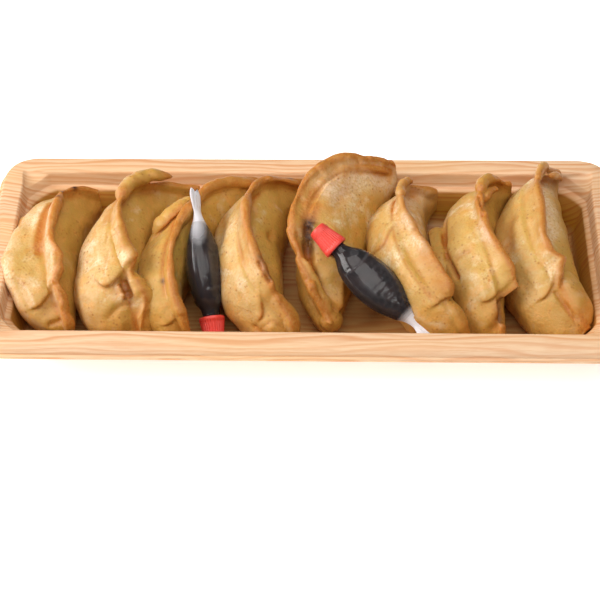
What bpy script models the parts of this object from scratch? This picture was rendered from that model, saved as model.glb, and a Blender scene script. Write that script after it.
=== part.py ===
"""A takeaway tray of gyoza: a thin formed tray printed like wood, eight pan-fried dumplings stood in a
row across it, and two fish-shaped squeeze bottles of soy sauce lying on them.

Blender 4.5, metres, +Z up. X runs along the tray, +Y points to its back, and the origin is on the table
under the middle of the tray.
"""

import math
from dataclasses import dataclass

import bmesh
import bpy
import numpy as np
from mathutils import Matrix, Vector
from mathutils.bvhtree import BVHTree

MM = 0.001
GAP = 0.35 * MM  # air left between two pieces that touch

# Tray
TRAY_LENGTH = 217 * MM  # over the outer edge of the rim
TRAY_WIDTH = 92 * MM
TRAY_HEIGHT = 21 * MM
SHEET = 0.8 * MM  # thickness of the formed sheet
RIM_WIDTH = 7 * MM
RIM_CORNER = 12 * MM  # radius of the rim's outer corners
SKIRT_DROP = 3.6 * MM
SKIRT_FLARE = 0.5 * MM
LIP_WIDTH = 1.3 * MM
EDGE = 0.6 * MM  # rounding where the rim turns down
GUSSET = 8 * MM  # cut across each inner corner
GUSSET_DROP = 1.6 * MM
LEDGE_DEPTH = 5.5 * MM  # from the rim down to the ledge
LEDGE_WIDTH = 1.8 * MM
LEDGE_FALL = 0.8 * MM
WALL_DRAFT = 1.0 * MM
LOWER_DRAFT = 2.8 * MM
FLOOR_FILLET = 1.5 * MM
CORNER_STEPS = 5

# Gyoza
FRILL_THICKNESS = 2.2  # the two sheets of dough pinched together
FRILL_HEIGHT = 5
GYOZA_STATIONS = 23
TIP_DEPTH = 9  # of the closed ends, under the ridge
UNDERSIDE = 1  # height of the middle of the underside
BOW_POWER = 1.2
SWELL_POWER = 0.85
PRESS_REACH = 8 * MM
PRESS_STEP = 0.8 * MM
LEAST_MOVE = 0.01 * MM
LEDGE_CARE = 1.0 * MM  # these two keep flat facets clear of the edges of the ledge and the rim
RIM_CARE = 0.6 * MM
RAY = Vector((0.137, 0.241, 0.961)).normalized()  # leans off the axes, so that it meets no edge

# Fish bottle: distance from the cap's mouth, half width, half thickness
FISH_OUTLINE = (
    (0.0, 2.7, 2.7),
    (1.6, 3.0, 3.0),
    (6.0, 5.7, 4.6),
    (12.0, 7.4, 5.5),
    (17.5, 7.75, 5.7),
    (24.0, 6.8, 4.9),
    (30.5, 4.3, 3.2),
    (34.5, 2.1, 1.7),
    (37.0, 1.7, 1.1),
    (40.5, 2.8, 0.9),
    (43.5, 3.0, 0.8),
    (45.5, 2.0, 0.7),
)
FISH_SIDES = 14
BOTTLE_WALL = 0.6 * MM
CAVITY_END = 32.0 * MM
NECK_LENGTH = 6.5 * MM
NECK_RADIUS = 2.7 * MM
CAP_LENGTH = 9.7 * MM
CAP_MOUTH_RADIUS = 4.4 * MM
CAP_END_RADIUS = 3.1 * MM
CAP_TOP = 1.2 * MM  # thickness of the cap's closed end


def clear_scene():
    for item in list(bpy.data.objects):
        bpy.data.objects.remove(item, do_unlink=True)


def new_collection(name):
    collection = bpy.data.collections.new(name)
    bpy.context.scene.collection.children.link(collection)
    return collection


def finish_material(name, colour, roughness, transmission=0.0):
    material = bpy.data.materials.new(name)
    material.use_nodes = True
    shader = material.node_tree.nodes["Principled BSDF"]
    shader.inputs["Base Color"].default_value = (*colour, 1.0)
    shader.inputs["Roughness"].default_value = roughness
    shader.inputs["Metallic"].default_value = 0.0
    shader.inputs["Transmission Weight"].default_value = transmission
    return material


def loft(name, rings, material, collection, cap_first=True, cap_last=True):
    """A skin over rings that all have the same number of points, each closed on itself."""
    shape = bmesh.new()
    rows = [[shape.verts.new(point) for point in ring] for ring in rings]
    count = len(rows[0])
    pairs = list(zip(rows, rows[1:]))
    for near, far in pairs:
        for i in range(count):
            j = (i + 1) % count
            shape.faces.new((near[i], near[j], far[j], far[i]))
    if cap_first:
        shape.faces.new(reversed(rows[0]))
    if cap_last:
        shape.faces.new(rows[-1])
    if cap_first and cap_last:
        bmesh.ops.recalc_face_normals(shape, faces=shape.faces)
    mesh = bpy.data.meshes.new(name)
    shape.to_mesh(mesh)
    shape.free()
    mesh.shade_smooth()
    mesh.materials.append(material)
    item = bpy.data.objects.new(name, mesh)
    collection.objects.link(item)
    return item


# ---------------------------------------------------------------- tray


def tray_ring(inset, height, corner, squareness, ear=0.0, drop=0.0):
    """One closed outline of the tray. Squareness 2 is a round corner, 1 a straight cut across it."""
    half_x = TRAY_LENGTH / 2 - inset
    half_y = TRAY_WIDTH / 2 - inset
    points = []
    for quarter in range(4):
        sign_x = (1, -1, -1, 1)[quarter]
        sign_y = (1, 1, -1, -1)[quarter]
        for step in range(CORNER_STEPS + 1):
            angle = math.radians(90) * step / CORNER_STEPS
            if quarter % 2:
                angle = math.radians(90) - angle
            reach_x = max(math.cos(angle), 0.0) ** (2 / squareness)
            reach_y = max(math.sin(angle), 0.0) ** (2 / squareness)
            middle = math.sin(2 * angle)
            x = half_x - corner + corner * reach_x + ear * middle
            y = half_y - corner + corner * reach_y + ear * middle
            points.append(Vector((sign_x * x, sign_y * y, height - drop * middle)))
    return points


def floor_top():
    return SHEET


def wall_profile():
    """Height and inset of the inside of the tray wall, from the rim down to the floor."""
    wall = RIM_WIDTH + EDGE
    ledge = wall + WALL_DRAFT
    lower = ledge + LEDGE_WIDTH
    foot = lower + LOWER_DRAFT
    return (
        (TRAY_HEIGHT - EDGE, wall),
        (TRAY_HEIGHT - LEDGE_DEPTH, ledge),
        (TRAY_HEIGHT - LEDGE_DEPTH - LEDGE_FALL, lower),
        (floor_top() + FLOOR_FILLET, foot),
        (floor_top(), foot + FLOOR_FILLET),
    )


def make_tray(material, collection):
    top = TRAY_HEIGHT
    rings = [
        tray_ring(-SKIRT_FLARE - LIP_WIDTH, top - SKIRT_DROP, RIM_CORNER + LIP_WIDTH, 2),
        tray_ring(-SKIRT_FLARE, top - SKIRT_DROP, RIM_CORNER, 2),
        tray_ring(0.0, top - EDGE, RIM_CORNER, 2),
        tray_ring(EDGE, top, RIM_CORNER - EDGE, 2),
        tray_ring(RIM_WIDTH, top, GUSSET, 6, ear=1.0 * MM),
    ]
    cuts = ((1.15, GUSSET_DROP), (1.2, 0.0), (1.3, 0.0), (1.4, 0.0), (1.5, 0.0))
    for (height, inset), (squareness, drop) in zip(wall_profile(), cuts):
        rings.append(tray_ring(inset, height, GUSSET, squareness, drop=drop))
    tray = loft("tray", rings, material, collection, cap_first=False)
    sheet = tray.modifiers.new("sheet", "SOLIDIFY")
    sheet.thickness = SHEET
    sheet.offset = -1.0
    sheet.use_even_offset = True
    return tray


# ---------------------------------------------------------------- gyoza

# Half of a cross-section, from the pinched seam down to the middle of the base: share of the half
# width and share of the height.
SIDE_SHAPE = ((0.10, 1.00), (0.48, 0.88), (0.90, 0.66), (1.00, 0.38), (0.86, 0.12), (0.45, 0.00))


@dataclass(frozen=True)
class Gyoza:
    """The driving dimensions of one dumpling, in millimetres and in shares of the way from its back tip
    to its front tip."""

    name: str
    back: tuple  # the pinched ridge's back tip
    front: tuple  # and its front tip
    crest: float  # greatest height of the ridge
    bow: tuple  # how far the ridge bows off the straight line between the tips
    foot: tuple  # how far the underside lies off the ridge's middle
    belly: float  # swelling to the left
    flank: float  # swelling to the right
    crest_at: float = 0.46
    bow_at: float = 0.44
    sway: float = 0.0  # an S in the ridge, first one way and then the other
    perch: float = 0.0  # how far the back end stands off the floor, held up by its neighbours
    belly_at: float = 0.5
    belly_lift: float = 1.0  # a power; under 1 it lifts the swelling
    flank_at: float = 0.5
    flank_lift: float = 1.0


def arch(share, at, power=1.0):
    """One smooth arch: 0 at both ends and 1 at the share called at."""
    return max(math.sin(math.pi * share ** (math.log(0.5) / math.log(at))), 0.0) ** power


def chord(plan, share):
    """The way from tip to tip, slower at both ends, where the ridge turns down."""
    eased = share - 0.5 * math.sin(2 * math.pi * share) / (2 * math.pi)
    return Vector(plan.back).lerp(Vector(plan.front), eased)


def ridge_of(plan, share):
    """The top edge of the pinched frill, at a share of the way along."""
    spot = chord(plan, share) + Vector((*plan.bow, 0)) * arch(share, plan.bow_at, BOW_POWER)
    spot.x += plan.sway * math.sin(2 * math.pi * share)
    if share < plan.crest_at:
        tip, turned = plan.back[2], (plan.crest_at - share) / plan.crest_at
    else:
        tip, turned = plan.front[2], (share - plan.crest_at) / (1 - plan.crest_at)
    spot.z = plan.crest - (plan.crest - tip) * turned**2
    return spot * MM


def base_of(plan, share):
    """The middle of the underside, at a share of the way along."""
    reach = Vector((*plan.bow, 0)) + Vector((*plan.foot, 0))
    spot = chord(plan, share) + reach * math.sin(math.pi * share)
    spot.z = UNDERSIDE + plan.perch * (1 - share) ** 2
    return spot * MM


def gyoza_rings(plan):
    """The cross-sections of one dumpling, from its back tip to its front tip."""
    floor = floor_top() + GAP
    rings = []
    for station in range(GYOZA_STATIONS):
        share = station / (GYOZA_STATIONS - 1)
        rise = max(math.sin(math.pi * share), 0.0)
        ridge, base = ridge_of(plan, share), base_of(plan, share)
        base.z = max(base.z + (ridge.z - TIP_DEPTH * MM - base.z) * (1 - rise) ** 3, floor)
        near, far = (ridge_of(plan, min(max(share + step, 0), 1)) for step in (0.04, -0.04))
        up = (ridge - base).normalized()
        side = (far - near).cross(up).normalized()
        root = ridge - up * FRILL_HEIGHT * MM
        ring = [ridge + side * FRILL_THICKNESS * MM * 0.4, ridge - side * FRILL_THICKNESS * MM * 0.4]
        sides = (
            (-1, plan.belly, plan.belly_at, plan.belly_lift),
            (1, plan.flank, plan.flank_at, plan.flank_lift),
        )
        for sign, swell, swell_at, lift in sides:
            width = (FRILL_THICKNESS / 2 + swell * arch(share, swell_at, SWELL_POWER)) * MM
            half_ring = []
            for across, height in SIDE_SHAPE:
                reach = max(width * across, FRILL_THICKNESS * MM / 2)
                spot = base.lerp(root, height**lift) + side * sign * reach
                spot.z = max(spot.z, floor)
                half_ring.append(spot)
            ring += half_ring if sign < 0 else half_ring[::-1]
        rings.append(ring)
    return rings


def tree_of(item):
    """The item's faces for nearest-point searches, with points spread over its skin."""
    mesh = item.data
    spots = [vertex.co.copy() for vertex in mesh.vertices]
    tree = BVHTree.FromPolygons(spots, [tuple(face.vertices) for face in mesh.polygons])
    spots += [(spots[edge.vertices[0]] + spots[edge.vertices[1]]) / 2 for edge in mesh.edges]
    spots += [face.center.copy() for face in mesh.polygons]
    return tree, spots


def is_inside(tree, spot):
    """Whether a ray from the spot leaves the closed skin an odd number of times."""
    crossings = 0
    start = spot.copy()
    while crossings < 50:
        found = tree.ray_cast(start, RAY)[0]
        if found is None:
            break
        crossings += 1
        start = found + RAY * 1e-6
    return crossings % 2 == 1


def way_out(tree, spot, clearance):
    """The shortest move that takes the spot clear of a closed skin, or None when it is clear."""
    found, _normal, _face, distance = tree.find_nearest(spot, PRESS_REACH)
    if found is None:
        return None
    if is_inside(tree, spot):
        return (found - spot) + (found - spot).normalized() * clearance
    if distance < clearance:
        return (spot - found).normalized() * (clearance - distance)
    return None


def hold_in_tray(spot):
    """Below the rim, a point stays inside the walls and above the floor."""
    spot.z = max(spot.z, floor_top() + GAP)
    over_rim = TRAY_HEIGHT + GAP + RIM_CARE - spot.z
    if over_rim <= 0:
        return spot
    heights, insets = zip(*reversed(wall_profile()))
    inset = float(np.interp(spot.z - LEDGE_CARE, heights, insets)) + GAP + RIM_CARE
    limit_x = TRAY_LENGTH / 2 - inset
    limit_y = TRAY_WIDTH / 2 - inset
    if over_rim < max(abs(spot.x) - limit_x, abs(spot.y) - limit_y):
        spot.z += over_rim
        return spot
    spot.x = min(max(spot.x, -limit_x), limit_x)
    spot.y = min(max(spot.y, -limit_y), limit_y)
    into_x = abs(spot.x) - limit_x + GUSSET
    into_y = abs(spot.y) - limit_y + GUSSET
    if into_x > 0 and into_y > 0 and into_x + into_y > GUSSET:
        back = (into_x + into_y - GUSSET) / 2
        spot.x -= math.copysign(back, spot.x)
        spot.y -= math.copysign(back, spot.y)
    return spot


def press(item, solids, clearance=GAP, rounds=60):
    """Dough gives way: the skin moves off every neighbour it would cut into or touch."""
    mesh = item.data
    faces = [tuple(face.vertices) for face in mesh.polygons]
    spots = [((index,), (1.0,)) for index in range(len(mesh.vertices))]
    for edge in mesh.edges:
        spots += [(tuple(edge.vertices), (share, 1 - share)) for share in (0.25, 0.5, 0.75)]
    spots += [(face, (1 / len(face),) * len(face)) for face in faces]
    for _ in range(rounds):
        points = [vertex.co.copy() for vertex in mesh.vertices]
        moves = {}
        for group, weights in spots:
            spot = sum((points[index] * weight for index, weight in zip(group, weights)), Vector())
            held = hold_in_tray(spot.copy()) - spot
            wanted = [held] if held.length > LEAST_MOVE else []
            wanted += [way_out(tree, spot, clearance) for tree, _spots in solids]
            for move in wanted:
                if move is not None:
                    for index in group:
                        moves.setdefault(index, []).append(move)
        own = BVHTree.FromPolygons(points, faces)
        for _tree, their_spots in solids:
            for spot in their_spots:
                found, _normal, face, distance = own.find_nearest(spot, PRESS_REACH)
                if found is None:
                    continue
                if is_inside(own, spot):
                    move = (spot - found) + (spot - found).normalized() * clearance
                elif distance < clearance:
                    move = (found - spot).normalized() * (clearance - distance)
                else:
                    continue
                for index in faces[face]:
                    moves.setdefault(index, []).append(move)
        for index, listed in moves.items():
            move = max(listed, key=lambda one: one.length)
            points[index] += move.normalized() * min(move.length, PRESS_STEP)
        for vertex, point in zip(mesh.vertices, points):
            vertex.co = hold_in_tray(point)
        if not moves:
            break


def make_gyoza(plan, solids, material, collection):
    """One dumpling, pressed clear of what is already in the tray."""
    item = loft(plan.name, gyoza_rings(plan), material, collection)
    press(item, solids)
    return item


# The row, from the left end of the tray to the right.
GYOZA = (
    Gyoza(
        "gyoza_1",
        back=(-74, 31, 19), front=(-78, -29, 12), crest=29.5, bow=(-11, 0), foot=(-3, 0), belly=14,
        flank=9, crest_at=0.4, bow_at=0.34, belly_at=0.55, belly_lift=0.5,
    ),
    Gyoza(
        "gyoza_2",
        back=(-38, 34, 18), front=(-54, -31, 12), crest=32, bow=(-18, 0), foot=(-3, 0), belly=13,
        flank=10, bow_at=0.36, sway=-4, belly_at=0.62, flank_at=0.55,
    ),
    Gyoza(
        "gyoza_3",
        back=(-16, 35, 20), front=(-38, -31, 11), crest=31, bow=(-16, 0), foot=(-2, 0), belly=11,
        flank=6, belly_at=0.6, flank_at=0.35,
    ),
    Gyoza(
        "gyoza_4",
        back=(1, 36, 19), front=(-2, -30, 12), crest=33, bow=(-20, 0), foot=(3, 0), belly=12.5,
        flank=9.5, bow_at=0.42,
    ),
    Gyoza(
        "gyoza_5",
        back=(32, 37, 27), front=(9, -25, 11), crest=35, bow=(-23, 9), foot=(19, -8), belly=8, flank=9,
        crest_at=0.35, bow_at=0.5, perch=10,
    ),
    Gyoza(
        "gyoza_6",
        back=(47, 33, 18), front=(56, -31, 12), crest=31.5, bow=(-16, 0), foot=(0, 0), belly=12, flank=9,
        bow_at=0.36, belly_at=0.42, flank_at=0.55,
    ),
    Gyoza(
        "gyoza_7",
        back=(73, 34, 21), front=(67, -31, 11), crest=31.5, bow=(-8, 0), foot=(-6, 0), belly=11, flank=7,
        sway=-4, belly_at=0.45,
    ),
    Gyoza(
        "gyoza_8",
        back=(90, 38, 23), front=(97, -30, 12), crest=32.5, bow=(-13.5, 0), foot=(-2, 0), belly=12,
        flank=12.5, crest_at=0.4, bow_at=0.42, sway=1.5, belly_at=0.58, flank_at=0.5, flank_lift=0.7,
    ),
)


# ---------------------------------------------------------------- fish bottles


def fish_size(distance):
    """(half width, half thickness) of the bottle at a distance from the cap's mouth."""
    stations = np.array(FISH_OUTLINE) * MM
    width = float(np.interp(distance, stations[:, 0], stations[:, 1]))
    thickness = float(np.interp(distance, stations[:, 0], stations[:, 2]))
    return width, thickness


def ellipse(distance, width, thickness):
    """A ring round the bottle's axis, which runs along +X. Width lies along Y and thickness along Z."""
    points = []
    for side in range(FISH_SIDES):
        angle = 2 * math.pi * side / FISH_SIDES
        points.append(Vector((distance, width * math.cos(angle), thickness * math.sin(angle))))
    return points


def cavity_stations():
    outline = [row[0] * MM for row in FISH_OUTLINE if 0 < row[0] * MM < CAVITY_END]
    return [*outline, CAVITY_END]


def cavity_ring(distance, gap=0.0):
    width, thickness = fish_size(distance)
    shrink = BOTTLE_WALL + gap
    return ellipse(distance, width - shrink, thickness - shrink)


def bottle_rings():
    rings = [cavity_ring(distance) for distance in reversed(cavity_stations())]
    bore = NECK_RADIUS - BOTTLE_WALL
    rings.append(ellipse(-NECK_LENGTH, bore, bore))
    rings.append(ellipse(-NECK_LENGTH, NECK_RADIUS, NECK_RADIUS))
    rings += [ellipse(row[0] * MM, row[1] * MM, row[2] * MM) for row in FISH_OUTLINE]
    return rings


def sauce_rings():
    """The sauce of a full bottle."""
    bore = NECK_RADIUS - BOTTLE_WALL - GAP
    rings = [ellipse(-NECK_LENGTH, bore, bore)]
    rings += [cavity_ring(distance, GAP) for distance in cavity_stations()[:-1]]
    rings.append(cavity_ring(CAVITY_END - GAP, GAP))
    return rings


def drain(item, level):
    """Leave the sauce only below a level plane."""
    shape = bmesh.new()
    shape.from_mesh(item.data)
    everything = shape.verts[:] + shape.edges[:] + shape.faces[:]
    cut = bmesh.ops.bisect_plane(
        shape, geom=everything, plane_co=(0, 0, level), plane_no=(0, 0, 1), clear_outer=True
    )
    rim = [edge for edge in cut["geom_cut"] if isinstance(edge, bmesh.types.BMEdge)]
    bmesh.ops.holes_fill(shape, edges=rim, sides=0)
    bmesh.ops.recalc_face_normals(shape, faces=shape.faces)
    shape.to_mesh(item.data)
    shape.free()


def cap_rings():
    inner = NECK_RADIUS + GAP
    deep = -CAP_LENGTH + CAP_TOP
    return [
        ellipse(deep, inner, inner),
        ellipse(0.0, inner, inner),
        ellipse(0.0, CAP_MOUTH_RADIUS, CAP_MOUTH_RADIUS),
        ellipse(-1.6 * MM, CAP_MOUTH_RADIUS, CAP_MOUTH_RADIUS),
        ellipse(-CAP_LENGTH + 0.6 * MM, CAP_END_RADIUS, CAP_END_RADIUS),
        ellipse(-CAP_LENGTH, CAP_END_RADIUS - 0.6 * MM, CAP_END_RADIUS - 0.6 * MM),
    ]


def aim(mouth, tail, turn):
    """A matrix that puts the cap's mouth at one point and points the bottle's axis at another."""
    along = (tail - mouth).normalized()
    across = Vector((0, 0, 1)).cross(along).normalized()
    up = along.cross(across)
    axes = Matrix((along, across, up)).transposed().to_4x4()
    return Matrix.Translation(mouth) @ axes @ Matrix.Rotation(math.radians(turn), 4, "X")


# Where each bottle lies, in millimetres: the mouth of its cap, the end of its tail, how far it is turned
# about its length, and the height its sauce reaches (None for a full bottle).
FISH = (
    {"side": "left", "mouth": (-31, -21.5, 9), "tail": (-38, 16, 34.5), "turn": 60, "level": 28},
    {"side": "right", "mouth": (11.5, -7.5, 28.5), "tail": (42, -30, 11), "turn": 10, "level": None},
)


def make_fish(plan, materials, collection):
    """A bottle with its sauce and cap; returns what a dumpling can touch."""
    side = plan["side"]
    mouth, tail = (Vector(plan[key]) * MM for key in ("mouth", "tail"))
    place = aim(mouth, tail, plan["turn"])
    bottle = loft(f"bottle_{side}", bottle_rings(), materials["bottle"], collection)
    sauce = loft(f"soy_sauce_{side}", sauce_rings(), materials["soy_sauce"], collection)
    cap = loft(f"cap_{side}", cap_rings(), materials["cap"], collection)
    for item in (bottle, sauce, cap):
        item.data.transform(place)
    if plan["level"] is not None:
        drain(sauce, plan["level"] * MM)
    return [bottle, cap]


# ---------------------------------------------------------------- the whole


def main():
    clear_scene()
    collection = new_collection("gyoza_tray")
    materials = {
        "tray": finish_material("tray_wood_print", (0.85, 0.62, 0.36), 0.55),
        "gyoza": finish_material("fried_dough", (0.72, 0.48, 0.18), 0.42),
        "bottle": finish_material("clear_bottle", (0.85, 0.86, 0.92), 0.25, 0.8),
        "soy_sauce": finish_material("soy_sauce", (0.03, 0.012, 0.012), 0.1),
        "cap": finish_material("red_cap", (0.75, 0.06, 0.05), 0.35),
    }
    make_tray(materials["tray"], collection)
    hard = []
    for plan in FISH:
        hard += [tree_of(item) for item in make_fish(plan, materials, collection)]
    pressed = []
    for plan in GYOZA:
        item = make_gyoza(plan, hard + pressed[-1:], materials["gyoza"], collection)
        pressed.append(tree_of(item))


main()
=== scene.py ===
"""Looks for a takeaway tray of gyoza: a thin formed tray printed like wood, eight pan-fried dumplings
stood in a row across it, and two fish-shaped squeeze bottles of soy sauce lying on them.

Metres, +Z up. X runs along the tray and +Y points to its back. The plans of the dumplings are in
millimetres.
"""

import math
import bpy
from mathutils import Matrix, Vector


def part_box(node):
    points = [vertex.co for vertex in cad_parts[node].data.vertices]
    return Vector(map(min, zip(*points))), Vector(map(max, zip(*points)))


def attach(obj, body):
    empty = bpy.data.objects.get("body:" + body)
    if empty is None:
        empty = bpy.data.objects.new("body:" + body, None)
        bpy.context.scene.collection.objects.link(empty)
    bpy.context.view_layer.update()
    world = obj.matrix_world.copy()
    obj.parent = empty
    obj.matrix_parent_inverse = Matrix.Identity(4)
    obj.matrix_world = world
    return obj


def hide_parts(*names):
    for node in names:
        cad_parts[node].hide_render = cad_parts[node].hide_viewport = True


bl_info = {
    "name": "Gyoza Tray",
    "version": (1, 0, 0),
    "blender": (4, 5, 0),
    "location": "3D View > Sidebar > Gyoza Tray",
    "description": "Builds a tray of pan-fried dumplings with two bottles of soy sauce",
    "category": "Add Mesh",
}

from dataclasses import dataclass

import bmesh
import bpy
import numpy as np
from mathutils import Matrix, Vector, noise
from mathutils.bvhtree import BVHTree

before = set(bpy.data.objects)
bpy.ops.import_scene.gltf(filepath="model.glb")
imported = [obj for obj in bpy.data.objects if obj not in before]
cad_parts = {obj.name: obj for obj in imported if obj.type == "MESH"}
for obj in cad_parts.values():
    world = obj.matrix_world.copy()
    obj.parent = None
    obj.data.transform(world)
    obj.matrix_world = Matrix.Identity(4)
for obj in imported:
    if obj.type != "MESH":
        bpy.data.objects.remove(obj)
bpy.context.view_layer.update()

MM = 0.001
ROOT = "root"
GAP = 0.2 * MM

# ---------------------------------------------------------------- settings


class GyozaSettings(bpy.types.PropertyGroup):
    """The dumplings"""

    skin_grain: bpy.props.FloatProperty(
        name="Skin grain",
        description="Size of the small faces that the dough's skin is made of",
        default=0.42 * MM,
        unit="LENGTH",
        subtype="DISTANCE",
    )
    frill_thickness: bpy.props.FloatProperty(
        name="Frill thickness",
        description="Thickness of the two sheets of dough where they are pinched together",
        default=2.3 * MM,
        unit="LENGTH",
        subtype="DISTANCE",
    )
    pale: bpy.props.FloatVectorProperty(
        name="Pale dough",
        description="Colour of the dough where the pan did not touch it",
        default=(0.80, 0.64, 0.38),
        size=3,
        subtype="COLOR",
    )
    gold: bpy.props.FloatVectorProperty(
        name="Golden dough",
        description="Colour of the lightly fried dough",
        default=(0.60, 0.365, 0.07),
        size=3,
        subtype="COLOR",
    )
    toast: bpy.props.FloatVectorProperty(
        name="Toasted edge",
        description="Colour of the crisp edges",
        default=(0.50, 0.175, 0.02),
        size=3,
        subtype="COLOR",
    )


class TraySettings(bpy.types.PropertyGroup):
    """The tray"""

    sheet: bpy.props.FloatProperty(
        name="Sheet",
        description="Thickness of the formed sheet",
        default=0.8 * MM,
        unit="LENGTH",
        subtype="DISTANCE",
    )
    ring_spacing: bpy.props.FloatProperty(
        name="Ring spacing",
        description="Distance between two growth rings of the printed wood",
        default=2.5 * MM,
        unit="LENGTH",
        subtype="DISTANCE",
    )
    pale_wood: bpy.props.FloatVectorProperty(
        name="Pale wood",
        description="Colour of the print between the rings",
        default=(0.82, 0.575, 0.365),
        size=3,
        subtype="COLOR",
    )
    ring_wood: bpy.props.FloatVectorProperty(
        name="Ring wood",
        description="Colour of the rings of the print",
        default=(0.66, 0.30, 0.13),
        size=3,
        subtype="COLOR",
    )


class BottleSettings(bpy.types.PropertyGroup):
    """The fish bottles, their sauce and their caps"""

    wall: bpy.props.FloatProperty(
        name="Bottle wall",
        description="Thickness of the soft plastic",
        default=0.6 * MM,
        unit="LENGTH",
        subtype="DISTANCE",
    )
    cap_ribs: bpy.props.IntProperty(
        name="Cap ribs", description="Number of grip ribs round each cap", default=30, min=8
    )
    plastic: bpy.props.FloatVectorProperty(
        name="Bottle plastic",
        description="Colour of the milky plastic",
        default=(0.86, 0.85, 0.90),
        size=3,
        subtype="COLOR",
    )
    sauce: bpy.props.FloatVectorProperty(
        name="Soy sauce",
        description="Colour of the sauce",
        default=(0.012, 0.007, 0.009),
        size=3,
        subtype="COLOR",
    )
    cap: bpy.props.FloatVectorProperty(
        name="Cap",
        description="Colour of the caps",
        default=(0.78, 0.055, 0.04),
        size=3,
        subtype="COLOR",
    )


class StageSettings(bpy.types.PropertyGroup):
    """Floor, lights and camera"""

    floor: bpy.props.FloatVectorProperty(
        name="Floor", description="Colour of the floor", default=(0.9, 0.9, 0.9), size=3, subtype="COLOR"
    )
    key_power: bpy.props.FloatProperty(
        name="Key light", description="Power of the large soft light", default=7.6, unit="POWER"
    )
    sky: bpy.props.FloatProperty(
        name="Sky", description="Brightness of the light from all round", default=0.15, min=0.0
    )


def settings():
    return bpy.context.scene.gyoza_tray


class GyozaTraySettings(bpy.types.PropertyGroup):
    """All of the tray of gyoza"""

    gyoza: bpy.props.PointerProperty(type=GyozaSettings, name="Gyoza", description="The dumplings")
    tray: bpy.props.PointerProperty(type=TraySettings, name="Tray", description="The tray")
    bottle: bpy.props.PointerProperty(type=BottleSettings, name="Bottles", description="The bottles")
    stage: bpy.props.PointerProperty(type=StageSettings, name="Stage", description="The stage")


# ---------------------------------------------------------------- mesh tools


def smooth_path(points, count):
    """A smooth curve through evenly counted points, as so many rows."""
    points = np.asarray(points, dtype=float)
    if points.ndim == 1:
        points = points[:, None]
    share = np.linspace(0, len(points) - 1, count)
    index = np.minimum(share.astype(int), len(points) - 2)
    t = (share - index)[:, None]
    padded = np.vstack([2 * points[0] - points[1], points, 2 * points[-1] - points[-2]])
    before, start, end, after = (padded[index + k] for k in range(4))
    return 0.5 * (
        2 * start
        + (end - before) * t
        + (2 * before - 5 * start + 4 * end - after) * t**2
        + (3 * start - before - 3 * end + after) * t**3
    )


def unit(vectors):
    return vectors / np.maximum(np.linalg.norm(vectors, axis=-1, keepdims=True), 1e-9)


def rows_to_skin(rows, closed=True, capped=True):
    """Vertices and faces over rows of points."""
    rows = np.asarray(rows)
    count, around = rows.shape[:2]
    index = np.arange(count * around).reshape(count, around)
    if closed:
        left, right = index, np.roll(index, -1, axis=1)
    else:
        left, right = index[:, :-1], index[:, 1:]
    faces = np.stack([left[:-1], right[:-1], right[1:], left[1:]], axis=-1).reshape(-1, 4).tolist()
    if capped:
        faces += [index[0][::-1].tolist(), index[-1].tolist()]
    return rows.reshape(-1, 3), faces


def new_item(name, points, faces, material=None):
    """A smooth-shaded object over points and faces."""
    mesh = bpy.data.meshes.new(name)
    mesh.from_pydata(np.asarray(points).tolist(), [], faces)
    mesh.update()
    mesh.shade_smooth()
    if material is not None:
        mesh.materials.append(material)
    item = bpy.data.objects.new(name, mesh)
    bpy.context.scene.collection.objects.link(item)
    return item


def bake_modifiers(item):
    """Replace the item's mesh by what its modifiers make of it."""
    graph = bpy.context.evaluated_depsgraph_get()
    graph.update()
    made = bpy.data.meshes.new_from_object(item.evaluated_get(graph), depsgraph=graph)
    old = item.data
    item.modifiers.clear()
    item.data = made
    made.name = item.name
    bpy.data.meshes.remove(old)


def outward(item):
    """Turn a closed skin's faces outwards."""
    shape = bmesh.new()
    shape.from_mesh(item.data)
    bmesh.ops.recalc_face_normals(shape, faces=shape.faces)
    shape.to_mesh(item.data)
    shape.free()


def points_of(mesh):
    spots = np.empty(len(mesh.vertices) * 3)
    mesh.vertices.foreach_get("co", spots)
    return spots.reshape(-1, 3)


def normals_of(mesh):
    ways = np.empty(len(mesh.vertices) * 3)
    mesh.vertex_normals.foreach_get("vector", ways)
    return ways.reshape(-1, 3)


def edges_of(mesh):
    ends = np.empty(len(mesh.edges) * 2, dtype=np.int64)
    mesh.edges.foreach_get("vertices", ends)
    return ends.reshape(-1, 2)


def set_points(mesh, spots):
    mesh.vertices.foreach_set("co", np.ascontiguousarray(spots).ravel())
    mesh.update()


def neighbour_mean(values, edges):
    """For each vertex, the mean of its neighbours' values."""
    count = len(values)
    a, b = edges[:, 0], edges[:, 1]
    total = np.bincount(a, minlength=count) + np.bincount(b, minlength=count)
    total = np.maximum(total, 1)
    flat = values if values.ndim > 1 else values[:, None]
    sums = np.stack(
        [
            np.bincount(a, flat[b, k], minlength=count) + np.bincount(b, flat[a, k], minlength=count)
            for k in range(flat.shape[1])
        ],
        axis=1,
    )
    mean = sums / total[:, None]
    return mean if values.ndim > 1 else mean[:, 0]


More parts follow.
